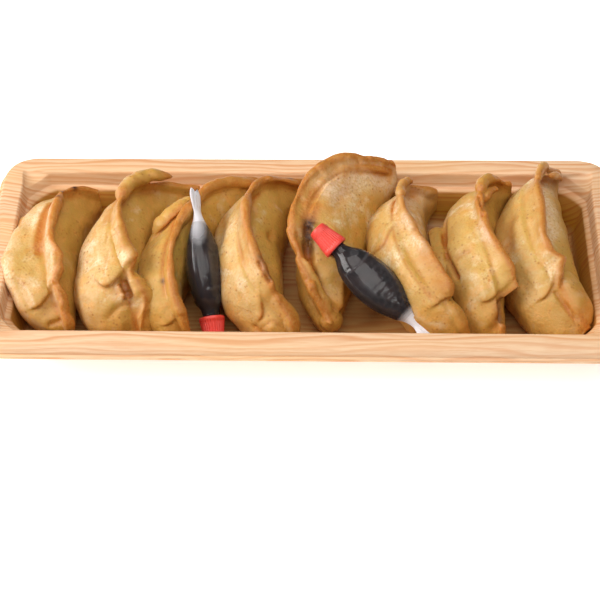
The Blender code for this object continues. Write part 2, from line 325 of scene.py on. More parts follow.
def keep_largest(item):
    """Drop closed pockets left inside a fused skin."""
    mesh = item.data
    edges = edges_of(mesh)
    label = np.arange(len(mesh.vertices))
    while True:
        low = np.minimum(label[edges[:, 0]], label[edges[:, 1]])
        new = label.copy()
        np.minimum.at(new, edges[:, 0], low)
        np.minimum.at(new, edges[:, 1], low)
        new = new[new]
        if np.array_equal(new, label):
            break
        label = new
    names, counts = np.unique(label, return_counts=True)
    if len(names) == 1:
        return
    keep = label == names[np.argmax(counts)]
    new_index = np.cumsum(keep) - 1
    spots = points_of(mesh)[keep]
    faces = [
        [int(new_index[v]) for v in face.vertices] for face in mesh.polygons if keep[face.vertices[0]]
    ]
    made = bpy.data.meshes.new(mesh.name)
    made.from_pydata(spots.tolist(), [], faces)
    made.update()
    made.shade_smooth()
    item.data = made
    bpy.data.meshes.remove(mesh)


def fuse(name, skins, grain):
    """One watertight skin over several closed skins that overlap."""
    points, faces, base = [], [], 0
    for spots, polygons in skins:
        points.append(spots)
        faces += [[v + base for v in polygon] for polygon in polygons]
        base += len(spots)
    item = new_item(name, np.vstack(points), faces)
    outward(item)
    remesh = item.modifiers.new("fuse", "REMESH")
    remesh.mode = "VOXEL"
    remesh.voxel_size = grain
    remesh.use_smooth_shade = True
    bake_modifiers(item)
    keep_largest(item)
    return item


def to_path(spots, path):
    """For each spot: its distance to a path and the share along it, then the way to the spot from the
    nearest place on the path, and the path's direction there."""
    if len(path) > 2:
        path = smooth_path(path, 4 * len(path))
    best = np.full(len(spots), np.inf)
    share = np.zeros(len(spots))
    offset = np.zeros_like(spots)
    tangent = np.zeros_like(spots)
    for k, (start, end) in enumerate(zip(path, path[1:])):
        span = end - start
        t = np.clip(((spots - start) @ span) / max(span @ span, 1e-12), 0, 1)
        away = spots - (start + t[:, None] * span)
        distance = np.linalg.norm(away, axis=1)
        closer = distance < best
        best[closer] = distance[closer]
        share[closer] = (k + t[closer]) / (len(path) - 1)
        offset[closer] = away[closer]
        tangent[closer] = span / max(np.linalg.norm(span), 1e-9)
    return best, share, offset, tangent


def rough_field(spots, size, seed):
    """Smooth noise from -1 to 1 at the spots."""
    shift = Vector((seed * 7.3, seed * 3.1, seed * 5.7))
    scale = 1 / size
    return np.array([noise.noise(Vector(spot) * scale + shift) for spot in spots])


# ---------------------------------------------------------------- material tools


def linear(red, green, blue):
    """A colour on the 0 to 255 scale as the shader wants it."""
    values = []
    for value in (red, green, blue):
        value /= 255
        values.append(value / 12.92 if value <= 0.04045 else ((value + 0.055) / 1.055) ** 2.4)
    return (*values, 1.0)


class Finish:
    """A material with a Principled shader, and short ways to add nodes to it."""

    def __init__(self, name):
        self.material = bpy.data.materials.new(name)
        self.material.use_nodes = True
        self.tree = self.material.node_tree
        self.shader = self.tree.nodes["Principled BSDF"]

    def node(self, kind, sockets=(), **choices):
        node = self.tree.nodes.new(f"ShaderNode{kind}")
        for key, value in choices.items():
            setattr(node, key, value)
        for key, value in dict(sockets).items():
            self.feed(node.inputs[key], value)
        return node

    def feed(self, socket, value):
        if isinstance(value, bpy.types.NodeSocket):
            self.tree.links.new(value, socket)
        else:
            socket.default_value = value

    def set(self, **values):
        for key, value in values.items():
            self.feed(self.shader.inputs[key.replace("_", " ")], value)

    def math(self, operation, first, second=0.0, third=None, clamp=False):
        node = self.node("Math", {0: first, 1: second}, operation=operation, use_clamp=clamp)
        if third is not None:
            self.feed(node.inputs[2], third)
        return node.outputs[0]

    def mix(self, share, first, second, blend="MIX"):
        node = self.node("Mix", data_type="RGBA", blend_type=blend)
        for index, value in ((0, share), (6, first), (7, second)):
            self.feed(node.inputs[index], value)
        return node.outputs[2]

    def ramp(self, value, *stops):
        node = self.node("ValToRGB", {0: value})
        bar = node.color_ramp
        while len(bar.elements) < len(stops):
            bar.elements.new(0.5)
        for element, (place, grey) in zip(bar.elements, stops):
            element.position = place
            element.color = (grey, grey, grey, 1.0)
        return node.outputs[0]

    def place(self):
        return self.node("TexCoord").outputs["Object"]

    def stretch(self, where, scale):
        return self.node("Mapping", {"Vector": where, "Scale": scale}).outputs[0]

    def noise(self, where, size, detail=2.0, roughness=0.5, distortion=0.0):
        sockets = {"Vector": where, "Scale": 1 / size, "Detail": detail}
        sockets |= {"Roughness": roughness, "Distortion": distortion}
        return self.node("TexNoise", sockets).outputs["Fac"]

    def attribute(self, name):
        return self.node("Attribute", attribute_name=name)

    def bump(self, height, distance, strength):
        return self.node("Bump", {"Height": height, "Distance": distance, "Strength": strength}).outputs[0]


def with_alpha(colour):
    return (*colour, 1.0)


# ---------------------------------------------------------------- tray

TRAY_LENGTH = 217 * MM
TRAY_WIDTH = 92 * MM
TRAY_HEIGHT = 21 * MM
RIM_WIDTH = 7 * MM
RIM_CORNER = 12 * MM
SKIRT_DROP = 3.6 * MM
SKIRT_FLARE = 0.5 * MM
LIP_WIDTH = 1.3 * MM
EDGE = 0.6 * MM
GUSSET = 8 * MM
GUSSET_DROP = 1.6 * MM
LEDGE_DEPTH = 5.5 * MM
LEDGE_WIDTH = 1.8 * MM
LEDGE_FALL = 0.8 * MM
WALL_DRAFT = 1.0 * MM
LOWER_DRAFT = 2.8 * MM
FLOOR_FILLET = 1.5 * MM
FLOOR_TOP = 0.8 * MM
CORNER_STEPS = 20
BEND_STEPS = 4
# How much painted shade darkens and yellows the inside, by depth under the rim as a share of the tray's
# height.
INNER_SHADE_STEPS = (0.0, 0.0), (0.1, 0.15), (0.26, 0.1), (0.34, 0.9), (0.7, 1.0), (0.9, 0.7)


def wall_profile():
    """Height and inset of the inside of the tray wall, from the rim down to the floor."""
    wall = RIM_WIDTH + EDGE
    ledge = wall + WALL_DRAFT
    lower = ledge + LEDGE_WIDTH
    foot = lower + LOWER_DRAFT
    return (
        (TRAY_HEIGHT - EDGE, wall),
        (TRAY_HEIGHT - LEDGE_DEPTH, ledge),
        (TRAY_HEIGHT - LEDGE_DEPTH - LEDGE_FALL, lower),
        (FLOOR_TOP + FLOOR_FILLET, foot),
        (FLOOR_TOP, foot + FLOOR_FILLET),
    )


def tray_stations():
    """The tray's section from its lip over the rim and down to the floor. Each station is inset,
    height, corner, squareness, ear, drop and how far the sheet's bend reaches from it."""
    top = TRAY_HEIGHT
    low = top - SKIRT_DROP
    stations = [
        (-SKIRT_FLARE - LIP_WIDTH, low, RIM_CORNER + LIP_WIDTH, 2, 0, 0, 0),
        (-SKIRT_FLARE, low, RIM_CORNER, 2, 0, 0, 0.35 * MM),
        (0.0, top, RIM_CORNER, 2, 0, 0, 0.9 * MM),
        (RIM_WIDTH, top, GUSSET, 6, 1.0 * MM, 0, 0.5 * MM),
    ]
    cuts = ((1.15, GUSSET_DROP), (1.2, 0.0), (1.3, 0.0), (1.4, 0.0), (1.5, 0.0))
    bends = (0.4, 0.5, 0.6, 1.0, 0)
    for (height, inset), (squareness, drop), bend in zip(wall_profile(), cuts, bends):
        stations.append((inset, height, GUSSET, squareness, 0, drop, bend * MM))
    return stations


def rounded(stations):
    """The stations with each bend of the sheet drawn as a small curve."""
    stations = np.array(stations, dtype=float)
    rows = [stations[0]]
    for before, here, after in zip(stations, stations[1:], stations[2:]):
        bend = here[6]
        back = min(bend / max(np.linalg.norm((before - here)[:2]), 1e-9), 0.45)
        on = min(bend / max(np.linalg.norm((after - here)[:2]), 1e-9), 0.45)
        start, end = here + (before - here) * back, here + (after - here) * on
        for t in np.linspace(0, 1, BEND_STEPS + 1):
            rows.append((1 - t) ** 2 * start + 2 * t * (1 - t) * here + t**2 * end)
    rows.append(stations[-1])
    return rows


def tray_ring(inset, height, corner, squareness, ear, drop, _bend):
    """One closed outline of the tray. Squareness 2 is a round corner, 1 a straight cut across it."""
    half_x = TRAY_LENGTH / 2 - inset
    half_y = TRAY_WIDTH / 2 - inset
    angle = np.linspace(0, math.pi / 2, CORNER_STEPS + 1)
    points = []
    for sign_x, sign_y in ((1, 1), (-1, 1), (-1, -1), (1, -1)):
        turn = angle if sign_x * sign_y > 0 else angle[::-1]
        across = np.maximum(np.cos(turn), 0) ** (2 / squareness)
        along = np.maximum(np.sin(turn), 0) ** (2 / squareness)
        middle = np.sin(2 * turn)
        points.append(
            np.stack(
                [
                    sign_x * (half_x - corner + corner * across + ear * middle),
                    sign_y * (half_y - corner + corner * along + ear * middle),
                    height - drop * middle,
                ],
                axis=1,
            )
        )
    return np.vstack(points)


def wood_print():
    """Pale softwood grain, printed on the sheet before it was formed; painted shade darkens and yellows it
    lower inside.
    """
    look = settings().tray
    finish = Finish("wood_print")
    sheet_place = finish.attribute("sheet_place").outputs["Vector"]
    stretched = finish.stretch(sheet_place, (0.16, 1.0, 0.0))
    drift = finish.noise(stretched, 9 * MM, detail=1.0)
    ripple = finish.noise(stretched, 2.6 * MM, detail=1.0)
    _along, across, depth_inside = finish.node("SeparateXYZ", {0: sheet_place}).outputs
    rings = finish.math("DIVIDE", across, look.ring_spacing)
    rings = finish.math("ADD", rings, finish.math("MULTIPLY", drift, 4.2))
    rings = finish.math("ADD", rings, finish.math("MULTIPLY", ripple, 0.5))
    saw = finish.math("FRACT", rings)
    ring_steps = (0.0, 0.0), (0.30, 0.10), (0.62, 0.85), (0.78, 1.0), (0.93, 0.25), (1.0, 0.0)
    ring = finish.ramp(saw, *ring_steps)
    which = finish.math("FLOOR", rings)
    depth = finish.node("TexWhiteNoise", {"W": which}, noise_dimensions="1D").outputs["Value"]
    ring = finish.math("MULTIPLY", ring, finish.math("MULTIPLY_ADD", depth, 0.6, 0.5))
    thread_place = finish.stretch(sheet_place, (0.05, 1.0, 0.0))
    threads = finish.noise(thread_place, 0.45 * MM, detail=2.0, roughness=0.6)
    colour = finish.mix(ring, with_alpha(look.pale_wood), with_alpha(look.ring_wood))
    thread = finish.ramp(threads, (0.42, 0.0), (0.75, 0.45))
    colour = finish.mix(thread, colour, with_alpha(look.ring_wood))
    warm = finish.noise(stretched, 20 * MM, detail=1.0)
    colour = finish.mix(finish.ramp(warm, (0.4, 0.0), (0.7, 0.35)), colour, linear(240, 190, 130))
    # painted shade: darker and yellower lower inside the tray
    depth_share = finish.math("DIVIDE", depth_inside, TRAY_HEIGHT)
    inner_shade = finish.ramp(depth_share, *INNER_SHADE_STEPS)
    colour = finish.mix(inner_shade, colour, linear(206, 172, 66), "MULTIPLY")
    finish.set(Base_Color=colour)
    finish.set(Roughness=finish.ramp(threads, (0.3, 0.42), (0.7, 0.55)))
    finish.set(Normal=finish.bump(threads, 0.02 * MM, 0.5))
    return finish.material


def flat_place(stations, rows):
    """Where each point lay on the flat sheet, and third its depth under the rim if it is inside."""
    bends = np.array([station[:2] for station in stations])
    steps = np.linalg.norm(np.diff(bends, axis=0), axis=1)
    climb = np.concatenate([np.cumsum(steps[::-1])[::-1], [0.0]])
    place = rows.copy()
    for axis, half in ((0, TRAY_LENGTH / 2), (1, TRAY_WIDTH / 2)):
        reach = half - bends[:, 0]
        place[..., axis] *= ((reach[-1] + climb) / reach)[:, None]
    inside = np.arange(len(rows)) >= bends[:, 1].argmax()
    place[..., 2] = (rows[..., 2].max() - rows[..., 2]) * inside[:, None]
    return place


class GYOZA_TRAY_OT_tray(bpy.types.Operator):
    """Form the tray from one printed sheet"""

    bl_idname = "gyoza_tray.tray"
    bl_label = "Tray"

    def execute(self, context):
        stations = rounded(tray_stations())
        rows = np.stack([tray_ring(*station) for station in stations])
        points, faces = rows_to_skin(rows, capped=False)
        last = np.arange(len(points) - rows.shape[1], len(points))
        faces.append(last.tolist())
        item = new_item("tray_sheet", points, faces, wood_print())
        place = flat_place(stations, rows)
        layer = item.data.attributes.new("sheet_place", "FLOAT_VECTOR", "POINT")
        layer.data.foreach_set("vector", place.reshape(-1))
        sheet = item.modifiers.new("sheet", "SOLIDIFY")
        sheet.thickness = settings().tray.sheet
        sheet.offset = -1.0
        sheet.use_even_offset = True
        bake_modifiers(item)
        layer = item.data.attributes["sheet_place"]
        place = np.empty(len(layer.data) * 3)
        layer.data.foreach_get("vector", place)
        place.reshape(-1, 3)[len(points) :, 2] = 0.0  # the underside, which gets no painted shade
        layer.data.foreach_set("vector", place)
        item.data.shade_smooth()
        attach(item, ROOT)
        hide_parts("tray")
        return {"FINISHED"}


# ---------------------------------------------------------------- gyoza

STATIONS = 120
HALF_RING = 26
TIP_DEPTH = 9  # of the closed ends, under the ridge
UNDERSIDE = 1  # height of the middle of the underside
BOW_POWER = 1.2
SWELL_POWER = 0.85
PLEAT_DEPTH = 1.0
SUNK = 2.2  # how far a fold's root reaches into the dumpling
# Down one side, from under the frill to the middle of the base: how far out and how high, as shares.
SIDE_SHAPE = ((0.10, 1.00), (0.48, 0.88), (0.90, 0.66), (1.00, 0.38), (0.86, 0.12), (0.45, 0.00))
LEFT, RIGHT, TOP = -1, 1, 0
PRESS_REACH = 6 * MM  # the most that the dough gives way
SMOOTH_PASSES = 2
BEND_PASSES = 4
LUMPS = ((13 * MM, 1.1, 0), (5 * MM, 0.45, 40))  # width, height in millimetres and shift of the seed
RAY = Vector((0.137, 0.241, 0.961)).normalized()  # leans off the axes, so that it meets no edge

# A place on a dumpling's skin is a side, the share of the way from its back tip to its front tip, and
# the fall: 0 at the foot of the frill, 1 under the middle of the base. On the side called TOP, which is
# the ridge, the distance to the right stands in for the fall. All sizes are millimetres.


@dataclass(frozen=True)
class Flap:
    """A fold of dough that lies over the skin and lifts off it towards its free edge."""

    side: int
    root: tuple
    edge: tuple
    rise: float = 1.5
    thick: float = 1.8
    toast: float = 0.7


@dataclass(frozen=True)
class Lobe:
    """A rounded lump: half sizes along the dumpling, down its side and out of it."""

    side: int
    at: tuple
    size: tuple


@dataclass(frozen=True)
class Roll:
    """A rolled edge that follows the ridge, sideways and up from it, tapering at its ends."""

    start: float
    end: float
    across: tuple = (0.0, 0.0)
    up: tuple = (0.0, 0.0)
    radius: float = 1.6
    toast: float = 0.8


@dataclass(frozen=True)
class Welt:
    """A rounded fold that runs over the skin and stands half out of it."""

    side: int
    path: tuple
    radius: float = 2.0
    toast: float = 0.0


@dataclass(frozen=True)
class Crease:
    """A pressed line or, with one place, a dent; a negative depth raises it. Oil and painted shade brown
    it.
    """

    side: int
    path: tuple
    depth: float = 0.6
    width: float = 0.7
    brown: float = 0.6


@dataclass(frozen=True)
class Step:
    """The edge of a layer that ends on the skin; the layer lies to the left of the path."""

    side: int
    path: tuple
    height: float = 0.8
    reach: float = 3.0
    # brown: painted shade along the layer's edge, in the fold colour
    brown: float = 0.5


@dataclass(frozen=True)
class ColourPatch:
    """A patch of colour along a path: toast, fold, char or pale. Toast and char are browning; fold is
    partly oil and partly painted shade; pale is painted light on lit faces and highlights.
    """

    side: int
    path: tuple
    radius: float
    kind: str = "toast"
    strength: float = 0.8


@dataclass(frozen=True)
class Gyoza:
    """The driving dimensions of one dumpling, in millimetres and in shares of the way from its back tip
    to its front tip."""

    name: str
    back: tuple  # the pinched ridge's back tip
    front: tuple  # and its front tip
    crest: float  # greatest height of the ridge
    bow: tuple  # how far the ridge bows off the straight line between the tips
    foot: tuple  # how far the underside lies off the ridge's middle
    belly: float  # swelling to the left
    flank: float  # swelling to the right
    crest_at: float = 0.46
    bow_at: float = 0.44
    sway: float = 0.0  # an S in the ridge, first one way and then the other
    perch: float = 0.0  # how far the back end stands off the floor
    belly_at: float = 0.5
    belly_lift: float = 1.0  # a power; under 1 it lifts the swelling
    flank_at: float = 0.5
    flank_lift: float = 1.0
    frill: float = 4.0  # height of the pinched frill
    thick: float = 1.0  # its thickness, as a share of the usual
    lean: float = 0.0  # how far its free edge hangs to the right of its root
    lean_at: float = 0.66
    wave: float = 0.7  # its sideways waves
    ragged: float = 0.5  # the ups and downs of its free edge
    pleats: int = 0
    hem: tuple = ((0, 0, 0), (1, 0, 0))  # where its free edge lies: share, above and right of the ridge
    pale: float = 0.3  # how much painted light lightens the left side, which faces the key lamp
    crisp: float = 1.0  # how brown its edges are
    folds: tuple = ()


# The row, from the left end of the tray to the right.
# Colour patches of the kind pale are painted light on lit faces and highlights; those of the kind fold are
# partly oil and partly painted shade.
GYOZA = (
    Gyoza(
        "gyoza_1",
        back=(-74, 31, 19), front=(-78, -29, 12), crest=29.5, bow=(-11, 0), foot=(-3, 0), belly=14,
        flank=9, crest_at=0.4, bow_at=0.34, belly_at=0.55, belly_lift=0.5,
        lean=3, lean_at=0.6, ragged=0.7, pale=0.9,
        hem=(
            (0, 0, 0), (0.55, 0, 0), (0.62, 0.3, 1.8), (0.68, 0, 1.5), (0.73, -1, -0.5), (0.85, 0, 0),
            (1, 0, 0),
        ),
        folds=(
            Roll(0.59, 0.70, (-1.0, -0.5), (-0.8, -0.8), 2.2, 0.3),
            Step(LEFT, ((0.80, 0.36), (0.80, 0.20), (0.77, 0.00)), 2.0, 8.0, 0.4),
            Flap(LEFT, ((0.30, 0.42), (0.44, 0.46)), ((0.32, 0.54), (0.46, 0.56)), 1.6, 1.4, 0.9),
            Crease(LEFT, ((0.30, 0.04), (0.46, 0.02), (0.60, 0.00)), 0.6, 1.2, 0.9),
            Crease(LEFT, ((0.83, 0.05), (0.85, 0.26)), 0.6, 2.0, 0.1),
            Crease(LEFT, ((0.91, 0.00), (0.91, 0.15), (0.90, 0.35)), 0.6, 1.0, 0.5),
            Crease(LEFT, ((0.58, 0.42), (0.64, 0.42)), -1.6, 4.5, 0.0),
            Crease(LEFT, ((0.42, 0.20), (0.56, 0.14)), 0.8, 3.2, 0.0),
            Crease(RIGHT, ((0.45, 0.15), (0.60, 0.20)), 0.6, 2.6, 0.1),
            ColourPatch(LEFT, ((0.32, 0.00), (0.60, 0.00)), 2.0, "toast", 0.9),
            ColourPatch(TOP, ((0.34, 0.0), (0.56, -0.5)), 2.2, "toast", 0.8),
            ColourPatch(TOP, ((0.74, 0.0), (0.98, 0.0)), 1.8, "toast", 0.8),
            ColourPatch(TOP, ((0.12, 0.0),), 1.3, "char", 1.0),
            ColourPatch(TOP, ((0.24, 0.0),), 0.9, "char", 0.8),
            ColourPatch(TOP, ((0.31, 0.0),), 0.9, "char", 0.7),
        ),
    ),
    Gyoza(
        "gyoza_2",
        back=(-38, 34, 18), front=(-54, -31, 12), crest=32, bow=(-18, 0), foot=(-3, 0), belly=13,
        flank=10, bow_at=0.36, sway=-4, belly_at=0.62, flank_at=0.55,
        lean=2.5, lean_at=0.5, crisp=0.55, pale=0.55,
        hem=(
            (0, 0, 0), (0.45, 0, 0), (0.6, 0, 0.8), (0.67, 0, 1.5), (0.7, -2, 0), (0.78, -0.5, 1),
            (0.86, 0.5, 2.5), (1, 0, 0),
        ),
        folds=(
            Roll(0.38, 0.05, (0.0, 0.5, 2.0), (0.0, 3.5, 8.0), 3.0, 0.95),
            Crease(TOP, ((0.53, -2.0), (0.62, -2.0)), -0.7, 1.2, 0.3),
            Step(LEFT, ((0.66, 0.28), (0.72, 0.20), (0.70, 0.00)), 2.0, 7.0, 0.4),
            Step(TOP, ((0.69, -3.0), (0.65, 2.0)), 1.2, 4.0, 0.3),
            Roll(0.70, 0.99, (0.5, 1.5, 1.0), (-0.5, -0.5, -1.0), 3.6, 0.3),
            Crease(LEFT, ((0.72, 0.00), (0.80, 0.00)), 2.0, 1.2, 1.0),
            Crease(LEFT, ((0.78, 0.00), (0.98, 0.00)), 1.0, 0.7, 0.8),
            Welt(LEFT, ((0.73, 0.07), (0.80, 0.06)), 1.2, 0.5),
            Crease(LEFT, ((0.83, 0.02), (0.82, 0.20), (0.84, 0.40)), 0.6, 1.2, 0.25),
            Crease(LEFT, ((0.51, 0.00), (0.56, 0.05)), 1.2, 0.5, 1.0),
            Crease(RIGHT, ((0.35, 0.20), (0.55, 0.22)), 0.8, 2.8, 0.1),
            ColourPatch(LEFT, ((0.74, 0.00), (0.79, 0.00)), 1.5, "char", 0.9),
            ColourPatch(LEFT, ((0.32, 0.02), (0.46, 0.04)), 2.0, "toast", 0.5),
            ColourPatch(TOP, ((0.20, 0.0), (0.36, 0.0)), 2.2, "toast", 0.9),
        ),
    ),
    Gyoza(
        "gyoza_3",
        back=(-16, 35, 20), front=(-38, -31, 11), crest=31, bow=(-16, 0), foot=(-2, 0), belly=11,
        flank=6, belly_at=0.6, flank_at=0.35,
        frill=3.5, lean=1.5, crisp=0.9, pale=0.1,
        folds=(
            Welt(LEFT, ((0.33, 0.06), (0.41, 0.14), (0.49, 0.30)), 2.4, 0.2),
            Step(LEFT, ((0.52, 0.34), (0.46, 0.15), (0.39, 0.00)), 1.8, 6.0, 0.8),
            Crease(LEFT, ((0.46, 0.00), (0.62, 0.00), (0.82, 0.00)), 0.5, 0.8, 0.8),
            Step(LEFT, ((0.86, 0.36), (0.88, 0.22), (0.88, 0.03)), 0.9, 5.0, 0.2),
            Roll(0.04, 0.32, (1.5, 0.5, 0.0), (0.3, 0.8, 0.0), 1.6, 0.9),
            ColourPatch(LEFT, ((0.43, 0.00), (0.50, 0.02)), 2.4, "toast", 0.9),
            ColourPatch(TOP, ((0.50, 0.0), (0.95, 0.0)), 1.6, "toast", 0.5),
            ColourPatch(LEFT, ((0.72, 0.00),), 1.0, "char", 0.6),
        ),
    ),
    Gyoza(
        "gyoza_4",
        back=(1, 36, 19), front=(-2, -30, 12), crest=33, bow=(-20, 0), foot=(3, 0), belly=12.5,
        flank=9.5, bow_at=0.42,
        frill=4.5, thick=1.2, lean=4, lean_at=0.68, wave=0.6, pale=0.4,
        hem=((0, 0, 0), (0.72, 0.3, 0.5), (0.79, 0, 1), (0.81, -1.5, 0.5), (0.9, -1, 1), (1, 0, 0)),
        folds=(
            Roll(0.04, 0.80, (0.0, 0.0, 0.0), (0.0, 0.0, 0.0), 1.5, 1.0),
            Roll(0.05, 0.22, (2.0, 1.0), (0.0, 0.6), 1.4, 1.0),
            Roll(0.80, 0.99, (0.0, 0.8, 0.5), (-0.5, -0.5, -1.0), 2.6, 0.7),
            Crease(LEFT, ((0.89, 0.22), (0.93, 0.24)), -2.0, 3.4, 0.0),
            Crease(TOP, ((0.70, -0.6), (0.79, -0.6)), 1.2, 0.6, 1.0),
            Step(LEFT, ((0.83, 0.36), (0.83, 0.20), (0.80, 0.02)), 1.0, 5.0, 1.0),
            Crease(LEFT, ((0.86, 0.34), (0.88, 0.16), (0.95, 0.14)), 0.7, 0.8, 0.7),
            Crease(LEFT, ((0.83, 0.44), (0.92, 0.46)), 0.8, 1.2, 0.8),
            Crease(LEFT, ((0.40, 0.30), (0.52, 0.26)), 0.8, 2.4, 0.0),
            Crease(RIGHT, ((0.48, 0.36),), 1.6, 2.2, 0.6),
            Crease(RIGHT, ((0.40, 0.10), (0.60, 0.14), (0.74, 0.08)), 0.8, 1.6, 0.3),
            ColourPatch(TOP, ((0.68, 0.5), (0.78, 0.5)), 1.2, "char", 0.5),
            ColourPatch(TOP, ((0.08, 0.0),), 1.3, "char", 0.8),
            ColourPatch(RIGHT, ((0.30, 0.00), (0.70, 0.00)), 1.4, "toast", 0.9),
        ),
    ),
    Gyoza(
        "gyoza_5",
        back=(32, 37, 27), front=(9, -25, 11), crest=35, bow=(-23, 9), foot=(19, -8), belly=8, flank=9,
        crest_at=0.35, bow_at=0.5, perch=10,
        frill=5.5, lean=-4, lean_at=0.45, wave=0.9, ragged=1.6, pleats=5, pale=0.1,
        folds=(
            Roll(0.05, 0.62, (1.6, 2.2, 1.6), (-3.4, -3.8, -3.4), 1.6, 1.0),
            Roll(0.10, 0.72, (-0.2, 0.0, 0.2), (0.2, 0.2, 0.0), 1.4, 0.4),
            Flap(
                RIGHT,
                ((0.56, 0.04), (0.72, 0.06), (0.90, 0.12)),
                ((0.60, 0.26), (0.74, 0.46), (0.92, 0.40)),
                2.8,
                3.0,
                0.4,
            ),
            Roll(0.74, 0.97, (0.5, 1.4, 1.4), (-1.0, -1.6, -1.0), 2.3, 0.4),
            Crease(RIGHT, ((0.74, 0.00), (0.83, 0.07), (0.92, 0.10)), 1.8, 1.0, 1.0),
            Crease(RIGHT, ((0.62, 0.00), (0.66, 0.03)), 2.0, 1.3, 1.0),
            Crease(RIGHT, ((0.68, 0.00), (0.73, 0.02)), 2.4, 1.5, 1.0),
            Lobe(RIGHT, (0.95, 0.26), (4.0, 4.6, 2.8)),
            Crease(RIGHT, ((0.30, 0.25), (0.44, 0.30)), 0.6, 3.0, 0.2),
            ColourPatch(RIGHT, ((0.60, 0.00), (0.70, 0.00)), 2.6, "char", 0.9),
            ColourPatch(RIGHT, ((0.78, 0.04), (0.88, 0.09)), 1.2, "char", 0.7),
            ColourPatch(RIGHT, ((0.52, 0.00), (0.58, 0.02)), 2.4, "toast", 1.0),
            ColourPatch(RIGHT, ((0.06, 0.06), (0.42, 0.10)), 7.0, "pale", 0.9),
            ColourPatch(RIGHT, ((0.34, 0.22), (0.50, 0.26)), 5.0, "fold", 0.3),
            ColourPatch(TOP, ((0.04, 0.5), (0.40, 1.0)), 3.0, "toast", 0.6),
        ),
    ),
    Gyoza(
        "gyoza_6",
        back=(47, 33, 18), front=(56, -31, 12), crest=31.5, bow=(-16, 0), foot=(0, 0), belly=12, flank=9,
        bow_at=0.36, belly_at=0.42, flank_at=0.55,
        frill=3.5, thick=0.9, lean=6, lean_at=0.62, wave=0.4, crisp=0.5, pale=0.2,
        hem=(
            (0, 0, 0), (0.2, 1, 0), (0.45, 0, 0), (0.62, 0, 1.5), (0.74, 0.5, 2), (0.775, 0, 1.5),
            (0.8, -3.5, -1), (1, -1, 0),
        ),
        folds=(
            Roll(0.34, 0.11, (0.0, 0.0, 1.0), (0.0, 1.5, 4.2), 1.8, 0.9),
            Crease(TOP, ((0.46, -1.6), (0.49, -1.6)), -0.5, 1.5, 0.0),
            Crease(TOP, ((0.55, -1.8), (0.60, -1.8)), -0.5, 1.7, 0.0),
            Crease(TOP, ((0.52, -3.5), (0.52, 0.5)), 0.5, 0.7, 0.5),
            Step(TOP, ((0.80, -7.0), (0.79, 1.0)), 1.2, 6.0, 0.5),
            Crease(RIGHT, ((0.86, 0.18), (0.91, 0.18)), -2.4, 4.5, 0.0),
            Step(LEFT, ((0.48, 0.42), (0.50, 0.20), (0.46, 0.00)), 0.7, 5.0, 0.7),
            Crease(LEFT, ((0.28, 0.00), (0.43, 0.00)), 0.8, 0.8, 1.0),
            Crease(LEFT, ((0.46, 0.00), (0.62, 0.00), (0.80, 0.00)), 0.3, 0.7, 0.6),
            Crease(RIGHT, ((0.14, 0.15), (0.34, 0.25)), 0.9, 2.4, 0.1),
            ColourPatch(TOP, ((0.44, -1.5), (0.50, -1.0)), 2.4, "pale", 1.0),
            ColourPatch(TOP, ((0.54, -1.5), (0.60, -1.0)), 3.0, "pale", 1.0),
            ColourPatch(TOP, ((0.64, -1.0), (0.78, -1.5)), 5.0, "toast", 0.7),
            ColourPatch(LEFT, ((0.88, 0.04), (0.94, 0.02)), 0.8, "char", 1.0),
            ColourPatch(RIGHT, ((0.12, 0.10), (0.30, 0.15), (0.50, 0.20)), 7.0, "pale", 0.9),
        ),
    ),
    Gyoza(
        "gyoza_7",
        back=(73, 34, 21), front=(67, -31, 11), crest=31.5, bow=(-8, 0), foot=(-6, 0), belly=11, flank=7,
        sway=-4, belly_at=0.45,
        frill=3, lean=2, lean_at=0.7, wave=0.8, pale=0.15,
        hem=(
            (0, 0, 0), (0.5, 0, 0), (0.6, 0, 1.5), (0.68, 1, 4), (0.775, 0.5, 4.5), (0.795, -4, -1),
            (0.88, -4, -1), (0.93, -1, 0), (1, 0, 0),
        ),
        folds=(
            Roll(0.32, 0.05, (0.0, 0.0, 1.5), (0.0, 2.2, 1.6), 1.8, 0.9),
            Roll(0.34, 0.16, (2.0, 4.0), (-1.5, -0.5), 1.3, 0.9),
            Lobe(LEFT, (0.46, 0.56), (13.0, 6.5, 5.0)),
            Crease(LEFT, ((0.33, 0.38), (0.48, 0.41), (0.66, 0.40)), 1.8, 0.9, 1.0),
            Crease(TOP, ((0.34, -0.5), (0.42, 0.4), (0.46, -0.8)), 1.4, 0.7, 1.0),
            Step(LEFT, ((0.77, 0.30), (0.785, 0.16), (0.78, 0.00)), 1.2, 6.0, 0.7),
            Crease(TOP, ((0.81, 1.0), (0.86, 1.3), (0.90, 0.5)), 2.4, 1.3, 1.0),
            Crease(LEFT, ((0.56, 0.20), (0.56, 0.34)), 0.5, 1.0, 0.4),
            Crease(LEFT, ((0.90, 0.05), (0.92, 0.30)), 0.5, 1.4, 0.3),
            ColourPatch(TOP, ((0.81, 1.0), (0.89, 0.8)), 1.8, "char", 0.9),
            ColourPatch(TOP, ((0.48, -1.0), (0.56, -1.2)), 2.8, "pale", 1.0),
        ),
    ),
    Gyoza(
        "gyoza_8",
        back=(90, 38, 23), front=(97, -30, 12), crest=32.5, bow=(-13.5, 0), foot=(-2, 0), belly=12,
        flank=12.5, crest_at=0.4, bow_at=0.42, sway=1.5, belly_at=0.58, flank_at=0.5, flank_lift=0.7,
        frill=4, lean=4.5, lean_at=0.45, wave=0.9, crisp=0.75, pale=0.2,
        hem=(
            (0, 0, 0), (0.3, 0, 0), (0.45, 0, 1.5), (0.56, 0, -0.5), (0.63, 0, 0.5), (0.67, 0.5, 4),
            (0.7, 0, 1), (0.725, 0, 0), (0.745, -3.5, -1), (1, -2, 0),
        ),
        folds=(
